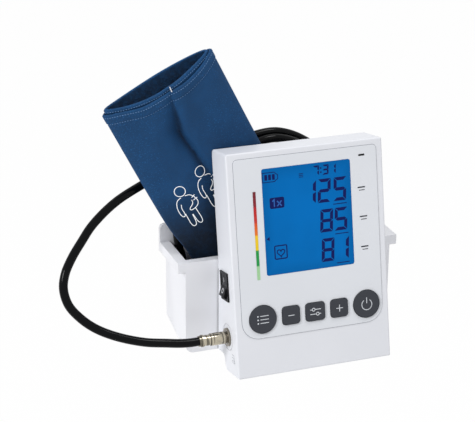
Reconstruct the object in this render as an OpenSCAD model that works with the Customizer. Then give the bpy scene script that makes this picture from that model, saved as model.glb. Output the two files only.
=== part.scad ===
// Wall-mounted blood pressure monitor.
// The origin is the centre of the four wall screw holes, on the back of the basket.
// The wall is the plane y = 0, the room is at -y, and +z is up.

/* [Unit] */
// Width of the unit across its front
unit_w = 120; // [116:1:136]
// Height of the unit along its front
unit_h = 164.5; // [162:0.5:180]
// Thickness of the unit from front to back
unit_t = 29.6; // [29:0.1:34]
// Angle that the unit leans back
lean = 11; // [9:0.5:13]
// Wall thickness of the unit's shells
shell_t = 2.4; // [2.2:0.1:2.6]
// Radius of the front's corners
face_r = 1.6; // [1.2:0.2:4]
// Radius of the soft edges
edge_r = 1.2; // [0.8:0.1:2.5]
// Offset of the unit to the right of the wall screws' centre
unit_x = 4; // [-6:1:10]
// Distance of the unit's lower edge below the wall screws' centre
unit_drop = 55; // [52:1:60]

/* [Heel] */
// Height of the heel's underside along the front
heel_v = 12.5; // [11:0.5:16]
// Thickness of the foot below the heel
foot_t = 28.5; // [26:0.5:29]
// Radius of the foot's back corner
foot_r = 8; // [5:0.5:8]
// Fillet between the foot and the heel
heel_fillet = 4.5; // [3:0.5:5]
// Height along the unit where its back leaves the basket's front
meet_v = 85.6; // [80:0.2:90]

/* [Basket] */
// Outer width of the basket's walls
basket_w = 162; // [156:1:180]
// Outer depth of the basket from the wall
basket_d = 47; // [46:0.5:54]
// Wall thickness of the basket
basket_t = 2; // [1.8:0.1:3]
// Thickness of the back plate
back_t = 3; // [2.5:0.1:3.2]
// Height of the rim above the wall screws' centre
rim_z = 21.4; // [20:0.2:23]
// Height of the rim's band
rim_h = 7.4; // [6:0.2:12]
// Reach of the rim beyond the side walls
rim_over = 5.5; // [3:0.5:8]
// Reach of the front rim into the basket
rim_in = 6; // [3.5:0.5:6]
// Depth of the basket's front below the wall screws' centre
basket_drop = 51; // [49:0.5:54]
// Rise of the basket's floor from its front to its back
floor_rise = 11.5; // [8:0.5:12]
// Radius of the basket's lower corners
basket_r = 6; // [4:0.5:10]
// Rise of the back plate above the rim
back_rise = 14; // [10:1:16]
// Radius of the back plate's upper corners
back_r = 4; // [2:0.5:8]

/* [Wall holes] */
// Spacing of the wall holes across
hole_dx = 100; // [80:1:120]
// Spacing of the wall holes up and down
hole_dz = 45; // [36:1:50]
// Diameter of the wall holes
hole_d = 5; // [4:0.1:6]
// Spacing of the screws between the basket and the unit
mount_dx = 70; // [60:1:74]
// Height of those screws below the wall screws' centre
mount_drop = 5; // [2:0.5:8]

/* [Front panel] */
// Margin of the raised panel at the sides
panel_side = 5.1; // [4.5:0.1:7]
// Height of the panel's lower edge
panel_v = 28.5; // [26:0.5:30]
// Margin of the panel at the top
panel_top = 4.6; // [4:0.1:7]
// Thickness of the panel
panel_t = 0.9; // [0.7:0.05:1.2]
// Height that the panel stands proud
panel_proud = 0.4; // [0.2:0.05:0.5]
// Radius of the panel's upper corners
panel_r_top = 3; // [2:0.5:6]
// Radius of the panel's lower corners
panel_r_low = 13; // [8:0.5:14]

/* [Display] */
// Width of the display lens
lens_w = 68; // [60:0.5:70]
// Height of the display lens
lens_h = 77.5; // [70:0.5:79]
// Thickness of the display lens
lens_t = 1.6; // [1.2:0.1:1.6]
// Height of the display's centre
lens_v = 112.6; // [111:0.2:114]
// Width of the pressure scale strip
strip_w = 1.7; // [1.4:0.1:2.4]
// Length of the pressure scale strip
strip_l = 64; // [50:1:70]

/* [Keys] */
// Diameter of the round keys
round_d = 20.7; // [18:0.1:21.5]
// Side of the minus and plus keys, and height of the middle key
square_w = 13.5; // [12:0.1:15]
// Width of the middle key
set_w = 15; // [13:0.1:16]
// Corner radius of the square keys
square_r = 2.6; // [1.4:0.2:4]
// Height of the key row
key_v = 42.5; // [41.5:0.5:43.5]
// Margin between the unit's sides and the row of keys
key_side = 9.05; // [8:0.05:10]
// Offset of the key row to the right
key_shift = 1.5; // [0:0.1:1.6]
// Height that a key stands proud of the panel
key_proud = 0.9; // [0.5:0.1:1.4]
// Travel of a key
key_travel = 0.8; // [0.5:0.1:0.8]

/* [Rocker switch] */
// Length of the rocker's frame
rocker_l = 21; // [20.5:0.1:22]
// Width of the rocker's frame
rocker_w = 15; // [14.6:0.1:15.4]
// Distance of the rocker's centre behind the front
rocker_back = 17.4; // [17.2:0.1:18.4]
// Height of the rocker's centre
rocker_v = 66.2; // [65:0.2:70]
// Angle between the rocker's two positions
rocker_turn = 20; // [16:1:22]

/* [Air connector] */
// Distance of the hose socket behind the front
socket_back = 18.5; // [18:0.1:20]
// Height of the hose socket
socket_v = 27.8; // [26.5:0.1:29]
// Diameter of the socket's flange
socket_d = 13.5; // [12.5:0.1:14.5]
// Diameter of the locking collar
collar_d = 9.2; // [9:0.1:10]
// Length of the locking collar
collar_l = 10.5; // [9:0.1:11]
// Length of the connector from the side wall to the hose
connector_l = 22.6; // [22:0.1:26]
// Travel of the locking collar
collar_travel = 3; // [2:0.1:3]

/* [Hose] */
// Outer diameter of the hose
hose_d = 6.5; // [6:0.1:6.5]

/* [Cuff] */
// Width of the rolled cuff, laid flat
cuff_w = 89; // [84:0.5:89]
// Length of the rolled cuff
cuff_l = 187; // [180:1:188]
// Thickness of one turn of the cuff
cuff_t = 2; // [1.5:0.1:2.2]
// Lean of the cuff towards the left
cuff_tilt = 27.3; // [26:0.1:28]

/* [Power] */
// Diameter of a battery cell
cell_d = 14.3; // [14:0.1:14.4]
// Length of a battery cell
cell_l = 50.5; // [49:0.5:51]

/* [Hidden] */
$fn = 48;
cuff_fit = 0.3;
slide_fit = 0.3;
seat_fit = 0.1;
run_fit = 0.05;
screw_fit = 0.1;

// Places of the unit
basket_front = -basket_d;
heel_y = basket_front - seat_fit;
front_y = heel_y - unit_t * cos(lean) - meet_v * sin(lean);
half_w = unit_w / 2;
inner_half = half_w - shell_t;

// Circuit board and the pieces that lie on it
board_front = shell_t + 6.6;
board_t = 1.6;
board_back = board_front + board_t;
board_edge = 11;
board_low = 20;
board_high = 10.5;
board_r = 2;
chip_v = 66;
chip_w = 12;
chip_t = 1.4;
buzzer_d = 12;
buzzer_t = 6;
buzzer_u = half_w - board_edge - 18;
post_d = 4.8;
post_side = 16;
post_low = 60;
post_high = 148;

// Case screws
boss_d = 6;
boss_side = shell_t + boss_d / 2 + 0.9;
boss_low = 51.5;
boss_high = unit_h - shell_t - 4.5;
pad_t = 2;
case_screw_d = 2.8;
case_head_d = 5;
case_head_t = 1.6;
case_screw_l = 14;
small_screw_d = 2;
small_head_d = 3.8;
small_head_t = 1.3;
small_screw_in = 4;
head_sunk = 0.2;
cover_hole_d = case_screw_d + 0.4;

// Screws between the basket and the unit
mount_screw_d = 3.8;
mount_head_d = 7.4;
mount_head_t = 2.2;
mount_screw_l = 13;
mount_boss_d = 8;
mount_boss_l = 9;

// Panel, lens and keys
panel_front = -panel_proud;
lens_front = panel_front - 0.1;
lens_back = lens_front + lens_t;
lens_ledge = 2;
lens_r = 1.5;
glass_t = 2.2;
light_t = 3.5;
frame_wall = 2.6;
strip_u = -lens_w / 2 - 6.4;
strip_v = 103.8;
strip_t = 0.6;
strip_proud = 0.1;
slot_side = 16.7;
slot_u = half_w - slot_side;
slot_v = 153.3;
slot_w = 4.5;
slot_h = 1.2;
key_gap = (unit_w - 2 * key_side - 2 * round_d - 2 * square_w - set_w) / 4;
square_off = (set_w + square_w) / 2 + key_gap;
round_off = square_off + (square_w + round_d) / 2 + key_gap;
key_lip = 0.8;
key_lip_t = 1.2;
key_foot_d = 8;
mat_t = 2.2;
mat_high = 25;
mat_front = board_front - mat_t;
key_foot = mat_front - key_travel - seat_fit;

// Rocker switch
rocker_rim = 1.2;
rocker_deep = 12;
rocker_floor = 1.5;
rocker_wall = 1.6;
rocker_border = 2.2;
rocker_body_w = rocker_w - 2.1;
rocker_body_l = rocker_l - 1.8;
rocker_open_w = rocker_w - 2 * rocker_border;
rocker_pivot = 3;
rocker_pin_d = 2.4;
rocker_pin_in = 1.4;
rocker_half = rocker_l / 2 - rocker_wall - 1;
rocker_rise = 1;
rocker_tip_t = 0.6;
rocker_root = 4;
rocker_root_half = 3;
terminal_l = 7;
terminal_w = 4.8;
terminal_t = 0.8;
terminal_off = 4;

// Socket and connector, measured outwards from the side wall
socket_t = 1.6;
neck_d = 8;
neck_l = 5;
socket_body_d = neck_d + 1.6;
bore_d = 6;
plug_in = 6;
socket_in = 14;
nipple_d = 3.9;
nipple_l = 6;
nut_d = 14;
nut_t = 3;
collar_start = 3.3;
sleeve_start = 7.2;
ring_start = collar_start + collar_l + collar_travel + 2.4;
ring_l = 1.6;
air_d = 2.4;
hose_bore = 3;

// Air parts inside, centred on the socket's axis or the pump's
tube_d = 7;
tube_bore = 4;
inlet_tube_l = 12;
pump_tube_l = 11;
valve_tube_l = 6;
manifold_l = 20;
manifold_left = socket_in + inlet_tube_l - half_w;
manifold_right = manifold_left + manifold_l;
manifold_deep = 12;
manifold_high = 12;
spout_l = 4;
valve_u = manifold_left + manifold_l / 2;
valve_w = 14;
valve_deep = 12;
valve_h = 18;
valve_spout = 2;
pump_back = 23.5;
pump_v = 32;
pump_port_v = pump_v - 1;
pump_d = 24;
head_l = 16;
head_d = pump_d - 2;
head_wall = 3;
head_left = manifold_right + pump_tube_l;
head_right = head_left + head_l;
motor_l = 30;
motor_bore_l = 11;
shaft_d = 2;
shaft_in = 5;
rotor_d = 8;
rotor_l = 6;
rotor_off = 1.2;
cradle_in = 4;
cradle_l = 22;
cradle_h = 26;
sensor_d = 8;

// Power parts
inlet_l = 13;
inlet_w = 11;
inlet_d = 9;
inlet_bore_d = 6.3;
inlet_floor = 3;
pin_d = 2;
pin_back = 3;
tray_t = 1.2;
cell_gap = 0.8;
cell_pitch = cell_d + cell_gap;
tray_in_w = 4 * cell_pitch;
contact_t = 0.4;
spring_l = 1;
spring_d = 4;
cell_play = 0.4;
tray_in_h = cell_l + 2 * (contact_t + spring_l) + cell_play;
tray_v = 112;
tray_front = board_back + cell_play;
tray_back = unit_t - shell_t - seat_fit;
door_w = tray_in_w + 10;
door_h = tray_in_h + 12;
door_r = 2;
door_t = 1.1;
door_sunk = 1.2;
door_screw_up = 3.5;
door_screw_in = 5;

// Rolled cuff: place of its mouth, and rows of [distance down, thickness, distance of its
// middle behind the basket's front]
mouth_x = -93;
mouth_z = 152;
cuff_rows = [[0, 28, 22.3], [12, 26, 22.6], [30, 22, 23], [50, 18, 23.4], [70, 16.4, 23.7],
    [90, 17.6, 22.8], [120, 20, 21], [150, 20, 20], [cuff_l, 18, 20]];
cuff_round = 2.1;
cuff_sides = 36;
inner_out = 3;
inner_pocket = 150;
inner_end = cuff_l - 3;
port_c = 18;
port_d = 9;
port_l = 12;

// Route of the hose from the connector to the cuff's port
hose_out = [[-93, -68.9, -30.5], [-102.5, -68.3, -29], [-118.5, -66.5, -26.5], [-138.5, -62.5, -20.5],
    [-152.5, -57.5, -14], [-162, -52.5, -6.5], [-168.5, -47.5, 2], [-170.5, -42.5, 12.5],
    [-168, -38.5, 22], [-161.5, -33.5, 31.5], [-152.5, -28, 41], [-143, -22.5, 50],
    [-124.5, -15.5, 62], [-103, -9.5, 70.5], [-78, -4.8, 78.5], [-50, -3.9, 87.5],
    [-25, -3.9, 95], [0, -3.9, 99], [13, -3.9, 96.5], [27, -4, 89.5]];
hose_first_loop = [[45, -5, 75], [59, -7.2, 54], [68, -8.5, 30], [69, -9.5, 6], [60, -12, -15],
    [41, -17, -31], [16, -22, -37.5], [-10, -25, -39.5], [-34, -25, -39.8], [-51, -22, -36.5],
    [-63, -17, -24], [-68.5, -13.5, -7], [-72, -12.4, 9], [-75.2, -12, 24], [-75.6, -11.4, 38],
    [-69, -10.9, 54], [-53, -10.8, 71],
    [-31, -10.8, 86], [-5, -10.8, 96], [9, -10.8, 94.5], [24, -10.8, 87]];
hose_second_loop = [[41, -11, 69], [50, -12, 48], [52.5, -12.5, 25], [47.5, -12.5, 5],
    [33, -12, -11], [12, -11, -17.5], [-11, -9.5, -12.5], [-27.5, -9.5, 3], [-33.5, -9.5, 24],
    [-26, -9.5, 43], [-8, -10, 57], [14, -13, 62]];
hose_to_port = [[35, -18, 57.5], [52, -23, 42], [62, -26, 26.5], [66.5, -27, 11], [67, -27, -3],
    [64.5, -27, -16.5], [57.5, -27, -27.5], [46.5, -27, -33.5], [34.5, -27, -34], [23.5, -27, -29]];
hose_sides = 10;

// Vector and curve helpers
function unit_of(v) = v / norm(v);
function arc(c, r, a0, a1, n = 8) =
    [for (i = [0:n]) c + r * [cos(a0 + (a1 - a0) * i / n), sin(a0 + (a1 - a0) * i / n)]];
function corner(c, r, inset, a0, a1) = r - inset > 0.1
    ? arc(c, r - inset, a0, a1)
    : [c + (r - inset) * sqrt(2) * [cos((a0 + a1) / 2), sin((a0 + a1) / 2)]];
function turned(n, t) = unit_of(n - t * (n * t));
function normals(ts, n, i = 0) =
    i == len(ts) ? [] : let(m = turned(n, ts[i])) concat([m], normals(ts, m, i + 1));
function path_length(p) = len(p) < 2 ? 0
    : [for (i = 1, s = norm(p[1] - p[0]); i < len(p);
        i = i + 1, s = s + (i < len(p) ? norm(p[i] - p[i - 1]) : 0)) s][len(p) - 2];

// Skin through rings that each have the same number of points. Its ends are capped,
// or it closes on itself like a ring.
module skin(rings, closed = false) {
    n = len(rings[0]);
    m = len(rings);
    sides = [for (i = [0:closed ? m - 1 : m - 2]) for (k = [0:n - 1])
        let(a = i * n, b = (i + 1) % m * n, next = (k + 1) % n)
            each [[a + k, b + next, b + k], [a + k, a + next, b + next]]];
    first = [for (k = [n - 1:-1:0]) k];
    last = [for (k = [0:n - 1]) (m - 1) * n + k];
    polyhedron(points = [for (r = rings) each r],
        faces = closed ? sides : concat(sides, [first, last]));
}

// Tube of one diameter along a path, its two ends square to the path
module tube(path, d, sides) {
    m = len(path);
    ts = [for (i = [0:m - 1]) unit_of(path[min(i + 1, m - 1)] - path[max(i - 1, 0)])];
    ns = normals(ts, [0, 0, 1]);
    rings = [for (i = [0:m - 1]) let(b = cross(ts[i], ns[i]))
        [for (k = [0:sides - 1]) path[i]
            + (ns[i] * cos(-360 * k / sides) + b * sin(-360 * k / sides)) * d / 2]];
    skin(rings);
}

// The unit's own frame: x across from its middle, y back from its front, z up its front
module on_unit() {
    translate([unit_x, front_y, -unit_drop]) rotate([-lean, 0, 0]) children();
}

// Rods along x and y, and an extrusion along x of a side view
module rod_x(d, l) {
    rotate([0, 90, 0]) cylinder(d = d, h = l);
}

module rod_y(d, l) {
    rotate([-90, 0, 0]) cylinder(d = d, h = l);
}

module along_x(width) {
    rotate([90, 0, 90]) linear_extrude(height = width, center = true) children();
}

// Flat slab of thickness t whose outline is drawn across and up, with its front at y = 0
module slab(t) {
    translate([0, t, 0]) rotate([90, 0, 0]) linear_extrude(height = t) children();
}

module rounded(w, h, r) {
    union() {
        square([w - 2 * r, h], center = true);
        square([w, h - 2 * r], center = true);
        for (x = [-1, 1]) for (y = [-1, 1])
            translate([x * (w / 2 - r), y * (h / 2 - r)]) circle(r = r);
    }
}

// Side view of the unit, drawn inwards by an inset
function heel_depth(v, inset) = (heel_y - inset - front_y - v * sin(lean)) / cos(lean);
function leave_v(inset) =
    (heel_y - inset - front_y - (unit_t - inset) * cos(lean)) / sin(lean);
function case_profile(inset) = concat(
    corner([edge_r, edge_r], edge_r, inset, 180, 270),
    corner([foot_t - foot_r, foot_r], foot_r, inset, 270, 360),
    arc([foot_t + heel_fillet, heel_v - heel_fillet], heel_fillet + inset, 180, 90),
    [[heel_depth(heel_v + inset, inset), heel_v + inset]],
    [[unit_t - inset, leave_v(inset)]],
    corner([unit_t - edge_r, unit_h - edge_r], edge_r, inset, 0, 90),
    corner([edge_r, unit_h - edge_r], edge_r, inset, 90, 180));

function plan_profile(inset) = concat(
    corner([edge_r - half_w, edge_r], edge_r, inset, 180, 270),
    corner([half_w - edge_r, edge_r], edge_r, inset, 270, 360),
    [[half_w - inset, 2 * unit_t], [inset - half_w, 2 * unit_t]]);

module case_block(inset) {
    intersection() {
        along_x(unit_w) polygon(case_profile(inset));
        linear_extrude(height = unit_h) polygon(plan_profile(inset));
        translate([0, 0, unit_h / 2]) slab(2 * unit_t)
            rounded(unit_w - 2 * inset, unit_h - 2 * inset, max(face_r - inset, 0.2));
    }
}

// Part of the side view that the rear cover fills, widened by a gap
module rear_zone(gap) {
    top = unit_h - shell_t - seat_fit + gap;
    heel_start = foot_t + heel_fillet + 1 - gap;
    heel_wall = heel_v + shell_t + 6;
    difference() {
        union() {
            translate([heel_start, heel_v - 1]) square([unit_t, top - heel_v + 1]);
            translate([unit_t - shell_t - 1, heel_wall]) square([unit_t, top - heel_wall]);
        }
        polygon(case_profile(shell_t));
    }
}

module boss_places() {
    for (x = [-1, 1]) for (v = [boss_low, boss_high])
        translate([x * (half_w - boss_side), 0, v]) children();
}

module post_places() {
    for (x = [-1, 1]) for (v = [post_low, post_high])
        translate([x * (half_w - post_side), 0, v]) children();
}

// Outlines in the front: the panel, the display and the keys
module panel_outline() {
    w = unit_w - 2 * panel_side;
    top = unit_h - panel_top;
    translate([0, (top + panel_v) / 2]) {
        h = top - panel_v;
        union() {
            translate([0, h / 4]) rounded(w, h / 2, panel_r_top);
            translate([0, -h / 4]) rounded(w, h / 2, panel_r_low);
            square([w, h - 2 * panel_r_low], center = true);
        }
    }
}

module lens_outline(grow) {
    translate([0, lens_v]) rounded(lens_w + 2 * grow, lens_h + 2 * grow, lens_r + max(grow, 0));
}

module round_outline(grow) {
    circle(d = round_d + 2 * grow);
}

module square_outline(w, grow) {
    rounded(w + 2 * grow, square_w + 2 * grow, square_r + grow);
}

function square_key_w(i) = i == 0 ? set_w : square_w;

module key_places(grow) {
    for (x = [-1, 1]) translate([key_shift + x * round_off, key_v]) round_outline(grow);
    for (i = [-1:1]) translate([key_shift + i * square_off, key_v])
        square_outline(square_key_w(i), grow);
}

module strip_outline(grow) {
    translate([strip_u, strip_v]) square([strip_w + 2 * grow, strip_l + 2 * grow], center = true);
}

module slot_outline(grow) {
    translate([slot_u, slot_v]) square([slot_w + 2 * grow, slot_h + 2 * grow], center = true);
}

// Basket with its back plate, moulded in one piece
module basket_front_view(grow) {
    z0 = -basket_drop - grow;
    translate([0, (rim_z + z0) / 2]) {
        h = rim_z - z0;
        union() {
            translate([0, h / 4]) square([basket_w + 2 * grow, h / 2], center = true);
            translate([0, -h / 8]) rounded(basket_w + 2 * grow, h * 3 / 4, basket_r + grow);
        }
    }
}

module basket_side_view(grow) {
    floor_back = floor_rise - basket_drop;
    polygon([[-basket_d - grow, rim_z + 1], [-basket_d - grow, -basket_drop - grow],
        [0, floor_back - grow], [0, rim_z + 1]]);
}

module wall_basket() {
    color("#eceef1") difference() {
        union() {
            difference() {
                intersection() {
                    translate([0, -basket_d, 0]) slab(basket_d) basket_front_view(0);
                    along_x(basket_w) basket_side_view(0);
                }
                intersection() {
                    translate([0, -basket_d - 1, 0]) slab(basket_d + 1 - back_t)
                        basket_front_view(-basket_t);
                    along_x(basket_w) basket_side_view(-basket_t);
                }
                basket_well(rim_z - 1);
            }
            basket_rim();
            basket_back();
        }
        for (x = [-1, 1]) for (z = [-1, 1])
            translate([x * hole_dx / 2, -back_t - 1, z * hole_dz / 2]) rod_y(hole_d, back_t + 2);
        mount_holes(mount_screw_d + 2 * screw_fit);
    }
}

// Clear space through the basket's mouth above a height
module basket_well(z) {
    w = basket_w - 2 * basket_t;
    translate([-w / 2, -basket_d + rim_in, z]) cube([w, basket_d - rim_in - back_t, rim_z]);
}

module basket_rim() {
    difference() {
        translate([-basket_w / 2 - rim_over, -basket_d, rim_z - rim_h])
            cube([basket_w + 2 * rim_over, basket_d, rim_h]);
        basket_well(rim_z - rim_h - 1);
    }
}

module basket_back() {
    w = basket_w + 2 * rim_over;
    low = rim_z - rim_h;
    high = rim_z + back_rise;
    translate([0, -back_t, 0]) slab(back_t) union() {
        translate([0, (low + high) / 2 + back_r / 2])
            rounded(w, high - low - back_r, back_r);
        translate([0, (low + high) / 2 - back_r])
            square([w, high - low - 2 * back_r], center = true);
    }
}

module mount_holes(d) {
    for (x = [-1, 1]) translate([x * mount_dx / 2, heel_y - mount_screw_l, -mount_drop])
        rod_y(d, mount_screw_l + basket_t + 1);
}

module basket_screws() {
    color("silver") for (x = [-1, 1]) translate([x * mount_dx / 2, 0, -mount_drop]) {
        translate([0, basket_front + basket_t, 0]) rod_y(mount_head_d, mount_head_t);
        translate([0, basket_front + basket_t - mount_screw_l, 0])
            rod_y(mount_screw_d, mount_screw_l);
    }
}

// Front shell: front wall, both sides, top and foot
module front_shell() {
    color("#eef0f3") on_unit() difference() {
        union() {
            difference() {
                case_block(0);
                case_block(shell_t);
                along_x(2 * inner_half) rear_zone(seat_fit);
            }
            boss_places() translate([0, shell_t - 1, 0]) rod_y(boss_d, 4);
            intersection() {
                boss_places() translate([0, shell_t + 1, 0]) rod_y(boss_d, 2 * unit_t);
                case_block(shell_t + pad_t + seat_fit);
            }
            post_places() translate([0, shell_t - 1, 0]) rod_y(post_d, board_front - shell_t + 1);
        }
        boss_places() translate([0, shell_t + 2, 0]) rod_y(case_screw_d, 2 * unit_t);
        post_places() translate([0, shell_t, 0]) rod_y(small_screw_d, board_front);
        translate([0, -1, 0]) slab(1 + panel_front + panel_t + seat_fit) panel_outline();
        translate([0, -1, 0]) slab(1 + lens_back + seat_fit) lens_outline(seat_fit);
        translate([0, -1, 0]) slab(2 + shell_t) lens_outline(-lens_ledge);
        translate([0, -1, 0]) slab(2 + shell_t) key_places(slide_fit);
        translate([0, -1, 0]) slab(2 + shell_t) slot_outline(seat_fit);
        rocker_hole(seat_fit);
        socket_hole(seat_fit);
        socket_groove();
        inlet_hole(seat_fit);
    }
}

module rocker_hole(gap) {
    translate([-half_w - 1, rocker_back, rocker_v])
        along_side(shell_t + 2, rocker_body_w + 2 * gap, rocker_body_l + 2 * gap);
}

// Block that runs inwards from x = 0, centred across and up
module along_side(l, w, h) {
    translate([0, -w / 2, -h / 2]) cube([l, w, h]);
}

module socket_hole(gap) {
    translate([-half_w - 1, socket_back, socket_v]) rod_x(socket_body_d + 2 * gap, shell_t + 2);
}

module socket_groove() {
    ring_r = 10;
    ring_w = 0.5;
    ring_deep = 0.3;
    translate([-half_w - 1, socket_back, socket_v]) difference() {
        rod_x(2 * ring_r, 1 + ring_deep);
        rod_x(2 * (ring_r - ring_w), 1 + ring_deep);
    }
}

// Rear cover: the back of the unit and of its heel
module rear_cover() {
    color("#e6e9ed") difference() {
        union() {
            on_unit() {
                along_x(2 * (inner_half - seat_fit)) intersection() {
                    polygon(case_profile(0));
                    rear_zone(0);
                }
                intersection() {
                    boss_places() translate([0, unit_t / 2, 0]) rod_y(boss_d, 2 * unit_t);
                    difference() {
                        case_block(shell_t - 0.2);
                        case_block(shell_t + pad_t);
                    }
                }
            }
            for (x = [-1, 1])
                translate([x * mount_dx / 2, heel_y - shell_t - mount_boss_l, -mount_drop])
                    rod_y(mount_boss_d, mount_boss_l + 1);
        }
        on_unit() {
            boss_places() translate([0, unit_t / 2, 0]) rod_y(cover_hole_d, 2 * unit_t);
            case_heads(seat_fit, unit_t);
            door_hole(seat_fit);
        }
        translate([0, -0.5, 0]) mount_holes(mount_screw_d + 2 * run_fit);
    }
}

// Depth of the top of a case screw's head at each height
function case_head_top(v) = v > meet_v
    ? unit_t - head_sunk
    : heel_depth(v + case_head_d / 2, 0) - head_sunk;

module case_heads(gap, l) {
    for (x = [-1, 1]) for (v = [boss_low, boss_high])
        translate([x * (half_w - boss_side), case_head_top(v) - case_head_t, v])
            rod_y(case_head_d + 2 * gap, l);
}

module case_screws() {
    color("silver") on_unit() {
        case_heads(0, case_head_t);
        for (x = [-1, 1]) for (v = [boss_low, boss_high])
            translate([x * (half_w - boss_side), case_head_top(v) - case_screw_l, v])
                rod_y(case_screw_d - 2 * run_fit, case_screw_l - case_head_t + 0.1);
    }
}

module front_panel() {
    color("#e4e7eb") on_unit() difference() {
        translate([0, panel_front, 0]) slab(panel_t) panel_outline();
        translate([0, -1, 0]) slab(2) {
            lens_outline(seat_fit);
            key_places(slide_fit);
            slot_outline(seat_fit);
        }
        translate([0, -1, 0]) slab(1 + panel_front - strip_proud + strip_t) strip_outline(run_fit);
    }
}

module display_lens() {
    color("#0a6cb8") on_unit() translate([0, lens_front, 0]) slab(lens_t) lens_outline(0);
}

module display_glass() {
    color("#1a4f86") on_unit() translate([0, shell_t + seat_fit, 0]) slab(glass_t)
        lens_outline(-0.5);
}

module backlight() {
    color("white") on_unit() translate([0, shell_t + glass_t + 2 * seat_fit, 0]) slab(light_t)
        lens_outline(-1);
}

module display_frame() {
    color("#2b2e33") on_unit() translate([0, shell_t + seat_fit, 0])
        slab(board_front - shell_t - 2 * seat_fit) difference() {
            lens_outline(frame_wall);
            lens_outline(seat_fit - 0.5);
        }
}

module scale_strip() {
    color("gold") on_unit() translate([0, panel_front - strip_proud, 0]) slab(strip_t)
        strip_outline(0);
}

module indicator_window() {
    color("#30343a") on_unit() translate([0, panel_front - 0.05, 0])
        slab(board_front - panel_front) slot_outline(0);
}

// A key: its cap passes the front wall, its lip stays behind it and its foot meets the mat
module key(u) {
    cap_front = panel_front - key_proud;
    lip_front = shell_t + slide_fit;
    color("#41464f") on_unit() translate([u, 0, key_v]) {
        translate([0, cap_front, 0]) slab(lip_front - cap_front + 0.5) children(0);
        translate([0, lip_front, 0]) slab(key_lip_t) children(1);
        translate([0, lip_front, 0]) rod_y(key_foot_d, key_foot - lip_front);
    }
}

module round_key(side) {
    key(key_shift + side * round_off) {
        round_outline(0);
        round_outline(key_lip);
    }
}

module square_key(i) {
    key(key_shift + i * square_off) {
        square_outline(square_key_w(i), 0);
        square_outline(square_key_w(i), key_lip);
    }
}

module mode_key() {
    round_key(-1);
}

module minus_key() {
    square_key(-1);
}

module set_key() {
    square_key(0);
}

module plus_key() {
    square_key(1);
}

module start_key() {
    round_key(1);
}

module key_mat() {
    mat_w = unit_w - 2 * board_edge;
    color("#8a9099") on_unit() translate([0, mat_front, key_v]) slab(mat_t)
        rounded(mat_w, mat_high, board_r);
}

module main_board() {
    high = unit_h - board_high;
    color("#1f6b3a") on_unit() difference() {
        translate([0, board_front, (board_low + high) / 2]) slab(board_t)
            rounded(unit_w - 2 * board_edge, high - board_low, board_r);
        post_places() translate([0, board_front - 1, 0])
            rod_y(small_screw_d + 2 * screw_fit, board_t + 2);
    }
}

module board_screws() {
    color("silver") on_unit() post_places() {
        translate([0, board_back, 0]) rod_y(small_head_d, small_head_t);
        translate([0, board_front - small_screw_in, 0])
            rod_y(small_screw_d - 2 * run_fit, small_screw_in + board_t + 0.1);
    }
}

module processor() {
    color("#202226") on_unit() translate([0, board_back, chip_v]) slab(chip_t)
        square(chip_w, center = true);
}

// Rocker switch in the left side
module rocker_frame() {
    color("#1c1e21") on_unit() translate([-half_w, rocker_back, rocker_v]) difference() {
        union() {
            translate([-rocker_rim, 0, 0]) along_side(rocker_rim, rocker_w, rocker_l);
            translate([-0.2, 0, 0])
                along_side(rocker_deep + 0.2, rocker_body_w, rocker_body_l);
        }
        translate([-rocker_rim - 1, 0, 0])
            along_side(rocker_rim + 1 + rocker_deep - rocker_floor,
                rocker_open_w, rocker_l - 2 * rocker_wall);
        translate([rocker_pivot, -rocker_w / 2, 0]) rod_y(rocker_pin_d + 2 * run_fit, rocker_w);
    }
}

// Side view of the rocker between its two positions, with its pivot at the origin
module rocker_view() {
    top = -rocker_pivot - rocker_rise;
    tip = top - rocker_half * tan(rocker_turn / 2);
    polygon([[top, 0], [tip, rocker_half], [0, rocker_half - rocker_tip_t],
        [rocker_root, rocker_root_half], [rocker_root, -rocker_root_half],
        [0, rocker_tip_t - rocker_half], [tip, -rocker_half]]);
}

module rocker() {
    pad_w = rocker_open_w - 2 * slide_fit;
    pin_l = rocker_w - 2 * rocker_pin_in;
    color("#24262a") on_unit() translate([rocker_pivot - half_w, rocker_back, rocker_v]) {
        translate([0, pad_w / 2, 0]) rotate([90, 0, 0]) linear_extrude(height = pad_w)
            rotate(-rocker_turn / 2) rocker_view();
        translate([0, -pin_l / 2, 0]) rod_y(rocker_pin_d, pin_l);
    }
}

module rocker_terminals() {
    color("#c9a24b") on_unit() for (z = [-terminal_off, terminal_off])
        translate([rocker_deep - half_w, rocker_back, rocker_v + z])
            along_side(terminal_l, terminal_w, terminal_t);
}

// Hose socket through the left side, and the connector plugged into it
module on_socket() {
    on_unit() translate([-half_w, socket_back, socket_v]) children();
}

// Ring round the socket's axis, from one distance outwards to another
module ring_out(from, to, outer, inner) {
    translate([-to, 0, 0]) difference() {
        rod_x(outer, to - from);
        translate([-1, 0, 0]) rod_x(inner, to - from + 2);
    }
}

module hose_socket() {
    color("#b9b4a8") on_socket() {
        ring_out(0, socket_t, socket_d, bore_d);
        ring_out(0, neck_l + socket_t, neck_d, bore_d);
        ring_out(-socket_in, socket_t / 2, socket_body_d, bore_d);
        ring_out(-socket_in - nipple_l, 0.5 - socket_in, nipple_d, air_d);
        ring_out(-socket_in, 1 - socket_in, bore_d + 1, air_d);
    }
}

module socket_nut() {
    color("#a8a49a") on_socket() translate([shell_t + seat_fit, 0, 0]) difference() {
        rotate([0, 90, 0]) cylinder(d = nut_d, h = nut_t, $fn = 6);
        translate([-1, 0, 0]) rod_x(socket_body_d + 2 * run_fit, nut_t + 2);
    }
}

module connector_body() {
    color("#b3ad9f") on_socket() ring_out(-plug_in, connector_l, bore_d - 2 * run_fit, hose_bore);
}

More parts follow.
